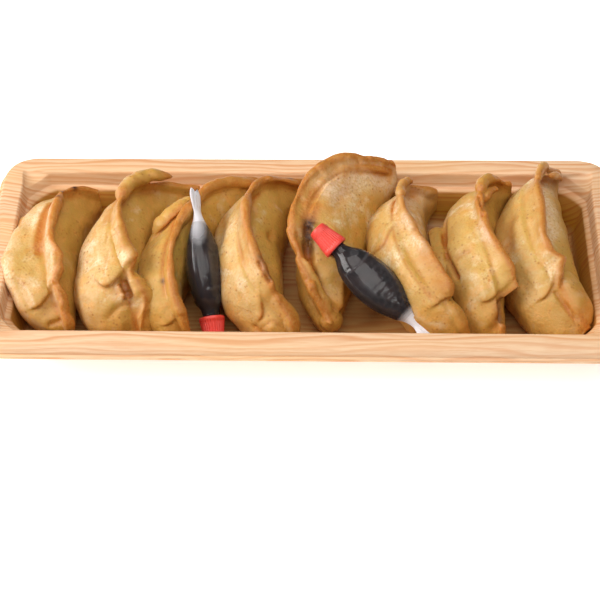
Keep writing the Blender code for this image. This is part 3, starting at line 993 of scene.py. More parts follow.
            Roll(0.28, 0.10, (0.0, -0.5, -1.0), (0.0, 1.5, 2.4), 1.8, 0.8),
            Roll(0.02, 0.20, (3.0, 4.0, 3.0), (-1.0, 0.0, 0.0), 1.6, 0.8),
            Roll(0.20, 0.70, (0.0, 0.0, 0.0), (0.0, 0.0, 0.0), 1.5, 0.4),
            Step(LEFT, ((0.74, 0.30), (0.745, 0.15), (0.73, 0.00)), 1.3, 6.0, 0.4),
            Lobe(RIGHT, (0.80, 0.22), (10.0, 6.0, 3.6)),
            Crease(LEFT, ((0.76, 0.00), (0.84, 0.00), (0.97, 0.00)), 0.8, 0.8, 0.6),
            Crease(LEFT, ((0.44, 0.20), (0.54, 0.28)), 1.0, 2.8, 0.5),
            Crease(RIGHT, ((0.16, 0.10), (0.40, 0.20)), 0.8, 2.6, 0.1),
            ColourPatch(RIGHT, ((0.80, 0.16), (0.90, 0.16)), 4.0, "toast", 0.5),
            ColourPatch(TOP, ((0.20, -1.5), (0.50, -2.5), (0.70, -1.0)), 3.0, "toast", 0.35),
            ColourPatch(RIGHT, ((0.12, 0.10), (0.50, 0.25)), 6.0, "pale", 0.7),
        ),
    ),
)


def arch(share, at, power=1.0):
    """One smooth arch: 0 at both ends and 1 at the share called at."""
    return np.maximum(np.sin(np.pi * share ** (math.log(0.5) / math.log(at))), 0) ** power


def chord(plan, share):
    """The way from tip to tip, slower at both ends, where the ridge turns down."""
    eased = share - 0.5 * np.sin(2 * np.pi * share) / (2 * np.pi)
    back, front = np.array(plan.back, dtype=float), np.array(plan.front, dtype=float)
    return back + (front - back) * eased[:, None]


def ridge_line(plan, share):
    """The top edge of the pinched frill."""
    spots = chord(plan, share)
    spots[:, :2] += arch(share, plan.bow_at, BOW_POWER)[:, None] * np.array(plan.bow)
    spots[:, 0] += plan.sway * np.sin(2 * np.pi * share)
    behind = share < plan.crest_at
    tip = np.where(behind, plan.back[2], plan.front[2])
    span = np.where(behind, plan.crest_at, 1 - plan.crest_at)
    spots[:, 2] = plan.crest - (plan.crest - tip) * ((share - plan.crest_at) / span) ** 2
    return spots


def base_line(plan, share, ridge):
    """The middle of the underside, which rises to the closed tips."""
    spots = chord(plan, share)
    reach = np.array(plan.bow) + np.array(plan.foot)
    rise = np.sin(np.pi * share)
    spots[:, :2] += rise[:, None] * reach
    spots[:, 2] = UNDERSIDE + plan.perch * (1 - share) ** 2
    spots[:, 2] += (ridge[:, 2] - TIP_DEPTH - spots[:, 2]) * (1 - rise) ** 3
    spots[:, 2] = np.maximum(spots[:, 2], FLOOR_TOP / MM + 0.3)
    return spots


def bilinear(grid, row, column):
    """Values of a grid between its rows and columns."""
    i = np.clip(row.astype(int), 0, grid.shape[0] - 2)
    j = np.clip(column.astype(int), 0, grid.shape[1] - 2)
    s, t = (row - i)[:, None], (column - j)[:, None]
    near = grid[i, j] * (1 - t) + grid[i, j + 1] * t
    far = grid[i + 1, j] * (1 - t) + grid[i + 1, j + 1] * t
    return near * (1 - s) + far * s


class Body:
    """The filled part of a dumpling, and the places on its skin."""

    def __init__(self, plan, thickness):
        self.plan = plan
        self.share = np.linspace(0, 1, STATIONS)
        self.ridge = ridge_line(plan, self.share)
        self.base = base_line(plan, self.share, self.ridge)
        step = 0.04
        ahead = ridge_line(plan, np.minimum(self.share + step, 1))
        behind = ridge_line(plan, np.maximum(self.share - step, 0))
        self.up = unit(self.ridge - self.base)
        self.side = unit(np.cross(behind - ahead, self.up))
        self.lean = plan.lean * arch(self.share, plan.lean_at, 2.0)
        at, rise, across = np.array(plan.hem, dtype=float).T
        self.edge = self.ridge + self.up * np.interp(self.share, at, rise)[:, None]
        self.edge = self.edge + self.side * np.interp(self.share, at, across)[:, None]
        root = self.ridge - self.up * plan.frill
        shape = smooth_path(SIDE_SHAPE, HALF_RING)
        shape = np.stack([np.maximum(shape[:, 0], 0), np.clip(shape[:, 1], 0, 1)], axis=1)
        sides = {
            LEFT: (plan.belly, plan.belly_at, plan.belly_lift),
            RIGHT: (plan.flank, plan.flank_at, plan.flank_lift),
        }
        self.skins = {}
        for sign, (swell, swell_at, lift) in sides.items():
            width = thickness / 2 + swell * arch(self.share, swell_at, SWELL_POWER)
            height = shape[:, 1] ** lift
            reach = np.maximum(width[:, None] * shape[None, :, 0], thickness / 2)
            spots = self.base[:, None] + (root - self.base)[:, None] * height[None, :, None]
            shift = sign * reach - self.lean[:, None] * height[None, :] ** 3
            spots = spots + self.side[:, None] * shift[..., None]
            spots[..., 2] = np.maximum(spots[..., 2], FLOOR_TOP / MM + 0.3)
            out = np.cross(np.gradient(spots, axis=0), np.gradient(spots, axis=1))
            self.skins[sign] = (spots, unit(out) * sign)

    def skin(self):
        rows = np.concatenate([self.skins[LEFT][0], self.skins[RIGHT][0][:, ::-1]], axis=1)
        return rows_to_skin(rows)

    def ridge_at(self, row):
        """The frill's free edge at rows between stations, and the ways to its right and up."""
        lines = (line[:, None].repeat(2, axis=1) for line in (self.edge, self.side, self.up))
        return [bilinear(line, row, np.zeros(len(row))) for line in lines]

    def track(self, side, places, count=40):
        """Spots on the skin along a path of places, and the ways out of the skin there."""
        if len(places) == 1:
            places, count = (places[0], places[0]), 2
        path = smooth_path(places, count)
        row = np.clip(path[:, 0], 0, 1) * (STATIONS - 1)
        if side == TOP:
            edge, across, up = self.ridge_at(row)
            return edge + across * path[:, 1:], up
        column = np.clip(path[:, 1], 0, 1) * (HALF_RING - 1)
        grid, out = self.skins[side]
        return bilinear(grid, row, column), unit(bilinear(out, row, column))

    def line(self, fold):
        """The path of a crease, step or colour patch, in metres and without needless points."""
        path, _out = self.track(fold.side, fold.path)
        return path[:: 1 if len(fold.path) == 1 else 5] * MM


def sheet_skin(edge, root, thickness, rows=8, bead=1.0):
    """A thick sheet of dough between its root and its free edge, closed and rounded at the edge."""
    share = np.linspace(0, 1, rows)
    middle = root[:, None] + (edge - root)[:, None] * share[None, :, None]
    out = unit(edge - root)
    side = unit(np.cross(unit(np.gradient(edge * 0.6 + root * 0.4, axis=0)), out))
    half = (thickness / 2)[:, None]
    reach = (half * (1 + (bead - 1) * share**3))[..., None]
    turn = np.linspace(0, np.pi, 7)[1:-1]
    cap = edge[:, None] + side[:, None] * (half * bead * np.cos(turn))[..., None]
    cap = cap + out[:, None] * (half * bead * np.sin(turn))[..., None]
    top, bottom = middle + side[:, None] * reach, middle - side[:, None] * reach
    return rows_to_skin(np.concatenate([top, cap, bottom[:, ::-1]], axis=1))


def frill_skin(body, thickness, seed):
    """The pinched frill along the top of a dumpling, wavy and of uneven height."""
    plan = body.plan
    wave, small, ripple, tooth = (
        np.array([noise.noise(Vector((s * beat, seed, 9.0 * beat))) for s in body.share])
        for beat in (7, 19, 13, 34)
    )
    pleat = (body.share * plan.pleats * 1.6 + 1.2 * wave) % 1.0 if plan.pleats else 0.0
    sway = plan.wave * (1.3 * wave + 0.6 * small) + PLEAT_DEPTH * (pleat - 0.5 * (plan.pleats > 0))
    edge = body.edge + body.side * sway[:, None]
    edge = edge + body.up * (plan.ragged * (1.2 * ripple + 0.5 * tooth))[:, None]
    root = body.ridge - body.up * (plan.frill + SUNK) - body.side * body.lean[:, None]
    thick = thickness * plan.thick * (1 + 0.25 * small)
    return sheet_skin(edge - body.up * thick[:, None] / 2, root, thick, bead=1.15), edge


def flap_skin(body, flap):
    """A fold of dough on the skin, thin at both ends."""
    count = 40
    root, root_out = body.track(flap.side, flap.root, count)
    edge, edge_out = body.track(flap.side, flap.edge, count)
    ends = np.minimum(1, 2.2 * np.sin(np.linspace(0.12, np.pi - 0.12, count)))
    edge = edge + edge_out * (flap.rise * ends)[:, None]
    return sheet_skin(edge, root - root_out * SUNK * 0.6, flap.thick * ends, rows=10), edge


def lobe_skin(body, lobe):
    """A rounded lump, half sunk in the skin."""
    spots, ways = body.track(lobe.side, (lobe.at,))
    near, _ways = body.track(lobe.side, ((max(lobe.at[0] - 0.03, 0), lobe.at[1]),))
    out = ways[0]
    along = unit(spots[0] - near[0])
    down = unit(np.cross(out, along))
    along = np.cross(down, out)
    turn = np.linspace(0.04, np.pi - 0.04, 19)[:, None, None]
    round_turn = np.linspace(0, 2 * np.pi, 28, endpoint=False)[None, :, None]
    size = lobe.size
    ball = along * size[0] * np.cos(turn) + down * size[1] * np.sin(turn) * np.cos(round_turn)
    ball = ball + out * size[2] * np.sin(turn) * np.sin(round_turn)
    return rows_to_skin(spots[0] + ball)


def roll_skin(body, roll):
    """A tube of dough along the ridge."""
    count = 70
    edge, side, up = body.ridge_at(np.linspace(roll.start, roll.end, count) * (STATIONS - 1))
    rise = smooth_path(roll.up, count) - 0.7 * roll.radius
    middle = edge + side * smooth_path(roll.across, count) + up * rise
    return tube_skin(middle, side, up, roll.radius, roll.start), middle


def tube_skin(middle, side, up, radius, seed):
    """A lumpy tube with round ends."""
    place = np.linspace(0, 1, len(middle))
    lumpy = np.array([1 + 0.2 * noise.noise(Vector((s * 9, seed * 9, 3))) for s in place])
    ends = np.sqrt(np.clip(1 - np.abs(2 * place - 1) ** 6, 0.02, 1))
    turn = np.linspace(0, 2 * np.pi, 16, endpoint=False)
    ring = side[:, None] * np.cos(turn)[None, :, None] + up[:, None] * np.sin(turn)[None, :, None]
    return rows_to_skin(middle[:, None] + ring * (radius * lumpy * ends)[:, None, None])


def welt_skin(body, welt):
    """A tube of dough along a path on the skin."""
    middle, out = body.track(welt.side, welt.path, 60)
    along = unit(np.gradient(middle, axis=0))
    side = unit(np.cross(along, out))
    return tube_skin(middle, side, out, welt.radius, welt.path[0][0]), middle + out * welt.radius


def hold_in_tray(spots):
    """Keep the dough above the floor and inside the walls; over the rim it may swell outwards."""
    spots[:, 2] = np.maximum(spots[:, 2], FLOOR_TOP + GAP)
    heights, insets = zip(*reversed(wall_profile()))
    inset = np.interp(spots[:, 2], heights, insets) + GAP
    over = 1.5 * np.maximum(spots[:, 2] - TRAY_HEIGHT - GAP, 0)
    for axis, half in ((0, TRAY_LENGTH / 2), (1, TRAY_WIDTH / 2)):
        limit = half - inset + over
        spots[:, axis] = np.clip(spots[:, axis], -limit, limit)
    into_x = np.abs(spots[:, 0]) - (TRAY_LENGTH / 2 - inset - GUSSET)
    into_y = np.abs(spots[:, 1]) - (TRAY_WIDTH / 2 - inset - GUSSET)
    cut = (into_x > 0) & (into_y > 0) & (into_x + into_y > GUSSET) & (over <= 0)
    back = np.where(cut, (into_x + into_y - GUSSET) / 2, 0)
    spots[:, 0] -= np.sign(spots[:, 0]) * back
    spots[:, 1] -= np.sign(spots[:, 1]) * back
    return spots


def trees_near(own):
    """The solids of everything in the tray but this dumpling and the tray."""
    trees = []
    for name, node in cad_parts.items():
        if name in (own, "tray") or name.startswith("soy_sauce"):
            continue
        mesh = node.data
        spots = [node.matrix_world @ vertex.co for vertex in mesh.vertices]
        tree = BVHTree.FromPolygons(spots, [tuple(face.vertices) for face in mesh.polygons])
        low, high = np.array(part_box(name))
        trees.append((tree, low, high))
    return trees


def is_inside(tree, spot):
    """Whether a ray from the spot leaves the closed skin an odd number of times."""
    crossings = 0
    start = spot
    while crossings < 20:
        found = tree.ray_cast(start, RAY)[0]
        if found is None:
            break
        crossings += 1
        start = found + RAY * 1e-6
    return crossings % 2 == 1


def give_way(spots, own):
    """Move the dough out of its neighbours."""
    for tree, low, high in trees_near(own):
        near = np.all((spots > low) & (spots < high), axis=1)
        for index in np.nonzero(near)[0]:
            spot = Vector(spots[index])
            found, normal, _face, distance = tree.find_nearest(spot, PRESS_REACH)
            if found is None or (spot - found).dot(normal) >= 0 or not is_inside(tree, spot):
                continue
            spots[index] = found + (found - spot).normalized() * GAP
    return spots


def fade(distance, reach):
    """1 on a path and near 0 beyond the reach, which is in millimetres."""
    return np.exp(-((distance / (reach * MM)) ** 2))


def press_folds(body, spots, ways, browning_and_painted_light):
    """Press creases and layer edges into the skin, and note where they darken: oil and painted shade in
    the creases, painted shade along the layer edges.
    """
    push = np.zeros(len(spots))
    over = np.zeros(spots.shape)
    for fold in body.plan.folds:
        if not isinstance(fold, (Crease, Step)):
            continue
        distance, share, offset, tangent = to_path(spots, body.line(fold))
        if isinstance(fold, Crease):
            near = fade(distance, fold.width)
            push -= fold.depth * near
        else:
            taper = np.clip(0.15 + 2.2 * share, 0, 1)
            left = np.cross(ways, tangent)
            layer = (0.5 + 0.5 * np.tanh((left * offset).sum(axis=1) / (0.4 * MM))) * taper
            push += fold.height * layer * np.exp(-((distance / (fold.reach * MM)) ** 1.5))
            lip = 0.45 * fold.height * layer * fade(distance, 1.3)
            over = over - unit(left) * (lip * MM)[:, None]
            near = fade(distance, 0.8) * taper
        # the fold channel: oil and painted shade in creases, painted shade along layer edges
        browning_and_painted_light["fold"] = np.maximum(browning_and_painted_light["fold"], fold.brown * near)
    return spots + ways * (push * MM)[:, None] + over


def brown_edges(body, spots, edges, browning_and_painted_light):
    """Toast the free edges and lay the colour patches; the pale ones are painted light, the fold ones
    partly painted shade.
    """
    for free, strength in edges:
        distance = to_path(spots, free[::4] * MM)[0]
        near = 0.75 * fade(distance, 1.2) + 0.4 * fade(distance, 3.4)
        browning_and_painted_light["toast"] = np.maximum(browning_and_painted_light["toast"], strength * near)
    for patch in body.plan.folds:
        if isinstance(patch, ColourPatch):
            near = fade(to_path(spots, body.line(patch))[0], patch.radius)
            browning_and_painted_light[patch.kind] = np.maximum(browning_and_painted_light[patch.kind], patch.strength * near)


def brown_bends(plan, mesh, spots, ends, browning_and_painted_light):
    """Paint light on the left side, which faces the key lamp; brown what is proud in the finished skin,
    and darken what is hollow with oil and painted shade.
    """
    ways = normals_of(mesh)
    # painted light: paler where the skin faces left, towards the key lamp
    browning_and_painted_light["pale"] = np.maximum(browning_and_painted_light["pale"], plan.pale * np.clip(0.2 - ways[:, 0] * 1.1, 0, 1))
    bend = ((neighbour_mean(spots, ends) - spots) * ways).sum(axis=1) / MM
    for _ in range(BEND_PASSES):
        bend = neighbour_mean(bend, ends)
    # darker and browner in hollows: partly oil, partly painted shade
    browning_and_painted_light["fold"] = np.clip(np.maximum(browning_and_painted_light["fold"], bend * 16), 0, 1)
    proud = np.clip(-bend * 12 - 0.15, 0, 1)
    # toast is stronger on faces turned right, away from the key lamp: partly browner dough, partly painted
    # shade
    right = 0.75 + 0.5 * np.clip(ways[:, 0] + 0.3, 0, 1)
    browning_and_painted_light["toast"] = np.clip((browning_and_painted_light["toast"] + proud * 0.5 * plan.crisp) * right, 0, 1)


def make_gyoza(plan, seed, material):
    """Fuse a dumpling's body, frill and folds into one skin, and shape and brown it."""
    look = settings().gyoza
    thickness = look.frill_thickness / MM
    body = Body(plan, thickness)
    frill, crest = frill_skin(body, thickness, seed)
    skins = [body.skin(), frill]
    edges = [(crest, plan.crisp)]
    makers = {Flap: flap_skin, Roll: roll_skin, Welt: welt_skin}
    for fold in plan.folds:
        if type(fold) in makers:
            skin, free = makers[type(fold)](body, fold)
            skins.append(skin)
            edges.append((free, fold.toast))
        elif isinstance(fold, Lobe):
            skins.append(lobe_skin(body, fold))
    skins = [(spots * MM, faces) for spots, faces in skins]
    item = fuse(plan.name + "_dough", skins, look.skin_grain)
    mesh = item.data
    ends = edges_of(mesh)
    spots = points_of(mesh)
    for _ in range(SMOOTH_PASSES):
        spots = spots * 0.5 + neighbour_mean(spots, ends) * 0.5
    set_points(mesh, spots)
    ways = normals_of(mesh)
    lumps = sum(rough_field(spots, size, seed + shift) * high for size, high, shift in LUMPS)
    spots = spots + ways * (lumps * MM)[:, None]
    browning_and_painted_light = {kind: np.zeros(len(spots)) for kind in ("toast", "fold", "char", "pale")}
    spots = press_folds(body, spots, ways, browning_and_painted_light)
    brown_edges(body, spots, edges, browning_and_painted_light)
    spots = hold_in_tray(give_way(spots, plan.name))
    set_points(mesh, spots)
    brown_bends(plan, mesh, spots, ends, browning_and_painted_light)
    colours = [browning_and_painted_light["toast"], browning_and_painted_light["fold"], browning_and_painted_light["char"], np.ones(len(spots))]
    layer = mesh.color_attributes.new("browning_and_painted_light", "FLOAT_COLOR", "POINT")
    layer.data.foreach_set("color", np.stack(colours, axis=1).ravel())
    layer = mesh.attributes.new("painted_light", "FLOAT", "POINT")
    layer.data.foreach_set("value", browning_and_painted_light["pale"])
    mesh.materials.clear()
    mesh.materials.append(material)
    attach(item, ROOT)
    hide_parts(plan.name)


def fried_dough():
    """Pan-fried wheat dough: painted light on the left-facing belly, crisp and brown on its edges, glossy
    with oil, with specks; darker in creases and lower down, partly with painted shade.
    """
    look = settings().gyoza
    finish = Finish("fried_dough")
    where = finish.place()
    # toast and char are the dough's own browning; the fold channel is partly oil and partly painted shade
    browned_and_shaded = finish.attribute("browning_and_painted_light").outputs["Color"]
    edge, fold, char = finish.node("SeparateColor", {0: browned_and_shaded}).outputs
    # painted light: lit faces and highlights, paler and less golden
    painted_light = finish.attribute("painted_light").outputs["Fac"]
    broad = finish.noise(where, 11 * MM, detail=2.0, distortion=0.5)
    middle = finish.noise(where, 3.2 * MM, detail=4.0, roughness=0.55)
    fine = finish.noise(where, 0.8 * MM, detail=3.0)
    gold = finish.math("MULTIPLY_ADD", broad, 1.7, finish.math("MULTIPLY", middle, 0.6))
    gold = finish.math("SUBTRACT", gold, finish.math("MULTIPLY", painted_light, 0.45))
    gold = finish.ramp(gold, (0.70, 0.0), (1.38, 1.0))
    colour = finish.mix(gold, with_alpha(look.pale), with_alpha(look.gold))
    olive = finish.noise(where, 8 * MM, detail=2.0, distortion=0.6)
    olive = finish.ramp(olive, (0.5, 0.0), (0.7, 0.6))
    colour = finish.mix(olive, colour, linear(196, 156, 78))
    # painted light: lit faces and highlights lightened towards cream
    colour = finish.mix(finish.math("MULTIPLY", painted_light, 0.9), colour, linear(244, 216, 180))
    # darker and more golden lower down: partly the browned base, partly painted shade low between the
    # dumplings
    height = finish.node("SeparateXYZ", {0: where}).outputs[2]
    range_down = {"Value": height, "From Min": 27 * MM, "From Max": 8 * MM}
    sunk = finish.node("MapRange", range_down).outputs[0]
    colour = finish.mix(finish.math("MULTIPLY", sunk, 0.85, clamp=True), colour, linear(174, 118, 36))
    tan = finish.noise(where, 5 * MM, detail=3.0, distortion=1.0)
    colour = finish.mix(finish.ramp(tan, (0.5, 0.0), (0.64, 0.6)), colour, linear(214, 156, 76))
    brown = finish.math("MULTIPLY", edge, finish.math("MULTIPLY_ADD", middle, 1.9, 0.6), clamp=True)
    colour = finish.mix(brown, colour, with_alpha(look.toast))
    # oil and painted shade in creases and along layer edges
    crease = finish.math("MULTIPLY", fold, finish.math("MULTIPLY_ADD", middle, 1.0, 0.5), clamp=True)
    colour = finish.mix(crease, colour, linear(180, 100, 22))
    colour = finish.mix(finish.ramp(fine, (0.45, 0.0), (0.7, 0.6)), colour, linear(200, 148, 70))
    freckled = finish.ramp(finish.noise(where, 6 * MM, detail=1.0), (0.42, 0.0), (0.58, 1.0))
    cells = finish.node("TexVoronoi", {"Vector": where, "Scale": 1 / (1.7 * MM)}).outputs["Distance"]
    freckle = finish.math("MULTIPLY", finish.ramp(cells, (0.08, 1.0), (0.32, 0.0)), freckled)
    colour = finish.mix(finish.math("MULTIPLY", freckle, 0.65), colour, linear(158, 94, 34))
    spots = finish.noise(where, 1.5 * MM, detail=2.0, roughness=0.7)
    spots = finish.ramp(spots, (0.62, 0.0), (0.72, 0.6))
    colour = finish.mix(finish.math("MULTIPLY", spots, freckled), colour, linear(182, 112, 42))
    burnt = finish.math("MULTIPLY", char, finish.math("MULTIPLY_ADD", fine, 1.2, 0.5), clamp=True)
    colour = finish.mix(burnt, colour, linear(58, 26, 10))
    finish.set(Base_Color=colour)
    finish.set(Roughness=finish.ramp(middle, (0.3, 0.42), (0.7, 0.6)))
    finish.set(Subsurface_Weight=0.2, Subsurface_Scale=2.0 * MM, Subsurface_Radius=(1.0, 0.45, 0.16))
    finish.set(Coat_Weight=0.08, Coat_Roughness=0.3)
    rough = finish.math("MULTIPLY_ADD", fine, 0.45, middle)
    finish.set(Normal=finish.bump(rough, 0.35 * MM, 0.75))
    return finish.material


class GYOZA_TRAY_OT_gyoza(bpy.types.Operator):
    """Fold and fry the eight dumplings"""

    bl_idname = "gyoza_tray.gyoza"
    bl_label = "Gyoza"

    def execute(self, context):
        material = fried_dough()
        for seed, plan in enumerate(GYOZA, start=1):
            make_gyoza(plan, seed, material)
        return {"FINISHED"}


# ---------------------------------------------------------------- fish bottles

# Sizes here are in millimetres. The outline is distance from the cap's mouth, half width and half
# thickness. A bottle's axis runs from the cap's mouth towards the tail, and the bottle is turned about it
# in degrees; the level is the sauce's height over the table, or None in a full bottle.
FISH_OUTLINE = (
    (0.0, 2.7, 2.7),
    (1.6, 3.0, 3.0),
    (6.0, 5.7, 4.6),
    (12.0, 7.4, 5.5),
    (17.5, 7.75, 5.7),
    (24.0, 6.8, 4.9),
    (30.5, 4.3, 3.2),
    (34.5, 2.1, 1.7),
    (37.0, 1.7, 1.1),
    (40.5, 2.8, 0.9),
    (43.5, 3.0, 0.8),
    (45.5, 2.0, 0.7),
)
FISH = (
    {"side": "left", "mouth": (-31, -21.5, 9), "tail": (-38, 16, 34.5), "turn": 60, "level": 28},
    {"side": "right", "mouth": (11.5, -7.5, 28.5), "tail": (42, -30, 11), "turn": 10, "level": None},
)
NECK_LENGTH = 6.5
NECK_RADIUS = 2.7
CAVITY_END = 32.0
CAP_LENGTH = 9.7
CAP_MOUTH = 4.4
CAP_END = 3.1
CAP_TOP = 1.2
RIB_DEPTH = 0.13
FISH_STATIONS = 150
FISH_SIDES = 72
SCALE_RELIEF = 0.16
SHOULDER = 1.6  # the neck is straight up to here
SOLID_TAIL = 31.0  # milky from here on


def aim(mouth, tail, turn):
    """A matrix that puts the cap's mouth at one point and points the bottle's axis at another."""
    along = (tail - mouth).normalized()
    across = Vector((0, 0, 1)).cross(along).normalized()
    up = along.cross(across)
    axes = Matrix((along, across, up)).transposed().to_4x4()
    return Matrix.Translation(mouth) @ axes @ Matrix.Rotation(math.radians(turn), 4, "X")


def place_of(plan):
    mouth, tail = (Vector(plan[key]) * MM for key in ("mouth", "tail"))
    return aim(mouth, tail, plan["turn"])


def fish_size(distance):
    """Half width and half thickness of the bottle at distances from the cap's mouth, in millimetres."""
    table = np.array(FISH_OUTLINE)
    spots = np.concatenate([[-NECK_LENGTH], table[:, 0]])
    sizes = []
    for column in (1, 2):
        values = np.concatenate([[NECK_RADIUS], table[:, column]])
        slope = np.gradient(values, spots)
        index = np.clip(np.searchsorted(spots, distance, side="right") - 1, 0, len(spots) - 2)
        span = spots[index + 1] - spots[index]
        t = (distance - spots[index]) / span
        flat = values[index] * (1 + 2 * t) * (1 - t) ** 2 + values[index + 1] * t**2 * (3 - 2 * t)
        curve = slope[index] * t * (1 - t) ** 2 - slope[index + 1] * t**2 * (1 - t)
        smooth = flat + curve * span
        straight = np.interp(distance, spots, values)
        sizes.append(np.where(distance < SHOULDER, straight, smooth))
    return sizes


def fish_ring_rows(distance, shrink=0.0):
    """Rings of the bottle's body: an oval, drawn a little to the parting line at its two edges."""
    width, thickness = fish_size(distance)
    angle = np.linspace(0, 2 * np.pi, FISH_SIDES, endpoint=False)
    across = np.cos(angle)[None, :] * (width - shrink)[:, None]
    up = np.sin(angle)[None, :] * (thickness - shrink)[:, None]
    return np.stack([np.broadcast_to(distance[:, None], across.shape), across, up], axis=-1)


def between(x, rise, fall):
    """1 between two places, with a slope before the first and another up to the second."""
    up = np.clip((x - rise[0]) / (rise[1] - rise[0]), 0, 1)
    down = np.clip((fall[1] - x) / (fall[1] - fall[0]), 0, 1)
    return up * down


def fish_relief(rows):
    """Eye, gill, fins, scales and tail ribs moulded in the bottle, as a height for each point."""
    x, y, z = rows[..., 0], rows[..., 1], rows[..., 2]
    height = np.zeros(x.shape)
    width, _thickness = fish_size(x[:, 0])
    share = y / np.maximum(width, 0.1)[:, None]
    eye = np.hypot(x - 5.6, y - 1.3)
    height += 0.28 * np.exp(-(((eye - 1.15) / 0.28) ** 2)) + 0.15 * np.exp(-((eye / 0.5) ** 2))
    gill = x - (9.6 - 1.6 * share**2)
    height += np.where(np.abs(share) < 0.85, 0.3 * np.exp(-((gill / 0.35) ** 2)), 0)
    mouth = np.abs(x - 2.7 - 0.5 * share)
    height += np.where(np.abs(share) < 0.7, -0.15 * np.exp(-((mouth / 0.25) ** 2)), 0)
    scaly = between(x, (11, 12.5), (28, 31)) * np.clip(2.2 - 2.2 * np.abs(share), 0, 1)
    row = x / 2.1
    shift = 0.5 * (np.floor(row) % 2)
    cell_x, cell_y = row - np.floor(row), (y / 2.3 + shift) % 1.0 - 0.5
    scale = cell_x - 0.9 + 2.4 * cell_y**2
    height += SCALE_RELIEF * scaly * np.exp(-((scale / 0.18) ** 2))
    fin_line = np.abs(share) - 0.62
    fin = between(x, (13, 15), (20, 22))
    height += 0.22 * fin * np.exp(-((fin_line / 0.07) ** 2))
    tail = np.clip((x - 37) / 2.5, 0, 1)
    height += 0.14 * tail * np.cos(y * 2 * np.pi / 1.35)
    return height * np.clip((np.abs(z) - 0.15) / 0.4, 0, 1)


def seam_relief(rows):
    """The thin parting line round the bottle's edge."""
    width, _thickness = fish_size(rows[:, 0, 0])
    near_edge = np.exp(-((rows[..., 2] / 0.28) ** 2)) * (np.abs(rows[..., 1]) > 0.7 * width[:, None])
    return 0.22 * near_edge


def bottle_rows():
    """The bottle's outer skin with its neck, then the skin of its cavity."""
    inner = np.linspace(CAVITY_END, -NECK_LENGTH, 60)
    cavity = fish_ring_rows(inner, settings().bottle.wall / MM)
    body = np.concatenate(
        [np.linspace(-NECK_LENGTH, 0.0, 10)[:-1], np.linspace(0.0, FISH_OUTLINE[-1][0], FISH_STATIONS)]
    )
    outer = fish_ring_rows(body)
    ways = np.stack([np.zeros_like(outer[..., 0]), outer[..., 1], outer[..., 2]], axis=-1)
    width, thickness = fish_size(body)
    ways[..., 1] /= (width**2)[:, None]
    ways[..., 2] /= (thickness**2)[:, None]
    moulded = (body > 0.3)[:, None]
    outer += unit(ways) * ((fish_relief(outer) + seam_relief(outer)) * moulded)[..., None]
    notch = np.clip((body - 41.0) / 4.5, 0, 1)[:, None]
    outer[..., 0] -= notch * 3.0 * np.exp(-((outer[..., 1] / 1.3) ** 2))
    return np.concatenate([cavity, outer])


def milky_plastic():
    """Soft milky plastic: clear where sauce wets it, white in the solid tail and the empty end."""
    look = settings().bottle
    finish = Finish("milky_plastic")
    where = finish.place()
    milk = finish.attribute("milk").outputs["Fac"]
    cloud = finish.noise(where, 2.5 * MM, detail=2.0)
    finish.set(Base_Color=with_alpha(look.plastic))
    clear = finish.math("SUBTRACT", 0.99, finish.math("MULTIPLY", milk, 0.85))
    clear = finish.math("SUBTRACT", clear, finish.math("MULTIPLY", cloud, 0.015))
    finish.set(Transmission_Weight=clear)
    finish.set(Roughness=finish.math("MULTIPLY_ADD", milk, 0.2, 0.12))
    finish.set(IOR=1.4, Specular_IOR_Level=0.1)
    grain = finish.noise(where, 0.35 * MM, detail=2.0)
    finish.set(Normal=finish.bump(grain, 0.04 * MM, 0.35))
    return finish.material


def dark_sauce():
    """Soy sauce, a little browner in places."""
    look = settings().bottle
    finish = Finish("dark_sauce")
    where = finish.place()
    cloud = finish.noise(where, 4 * MM, detail=2.0)
    brown = finish.ramp(cloud, (0.3, 0.0), (0.7, 0.6))
    finish.set(Base_Color=finish.mix(brown, with_alpha(look.sauce), linear(58, 34, 30)))
    finish.set(Roughness=finish.math("MULTIPLY_ADD", cloud, 0.1, 0.12), Specular_IOR_Level=0.1)
    return finish.material


def cap_plastic():
    """Red plastic with a soft sheen and paler clouds."""
    look = settings().bottle
    finish = Finish("cap_plastic")
    where = finish.place()
    cloud = finish.noise(where, 1.2 * MM, detail=3.0)
    light = finish.ramp(cloud, (0.3, 0.0), (0.75, 0.5))
    finish.set(Base_Color=finish.mix(light, with_alpha(look.cap), linear(240, 92, 80)))
    finish.set(Roughness=finish.math("MULTIPLY_ADD", cloud, 0.15, 0.3))
    finish.set(Subsurface_Weight=0.15, Subsurface_Scale=1.0 * MM, Subsurface_Radius=(1.0, 0.3, 0.2))
    finish.set(Normal=finish.bump(cloud, 0.05 * MM, 0.3))
    return finish.material


class GYOZA_TRAY_OT_bottles(bpy.types.Operator):
    """Mould the two fish-shaped bottles"""

    bl_idname = "gyoza_tray.bottles"
    bl_label = "Bottles"

    def execute(self, context):
        material = milky_plastic()
        for plan in FISH:
            rows = bottle_rows()
            raised = np.clip(fish_relief(rows) / SCALE_RELIEF, 0, 1).ravel()
            points, faces = rows_to_skin(rows * MM)
            item = new_item(f"fish_bottle_{plan['side']}", points, faces, material)
            outward(item)
            local = points_of(item.data)
            item.data.transform(place_of(plan))
            milk = np.clip((local[:, 0] / MM - SOLID_TAIL) / 3.0, 0, 1)
            milk = np.maximum(milk, 0.05 * raised)
            if plan["level"] is not None:
                above = points_of(item.data)[:, 2] / MM - plan["level"]
                milk = np.maximum(milk, 0.7 * np.clip((above + 0.6) / 2.4, 0, 1))
            layer = item.data.attributes.new("milk", "FLOAT", "POINT")
            layer.data.foreach_set("value", milk)
            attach(item, ROOT)
            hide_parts(f"bottle_{plan['side']}")
        return {"FINISHED"}


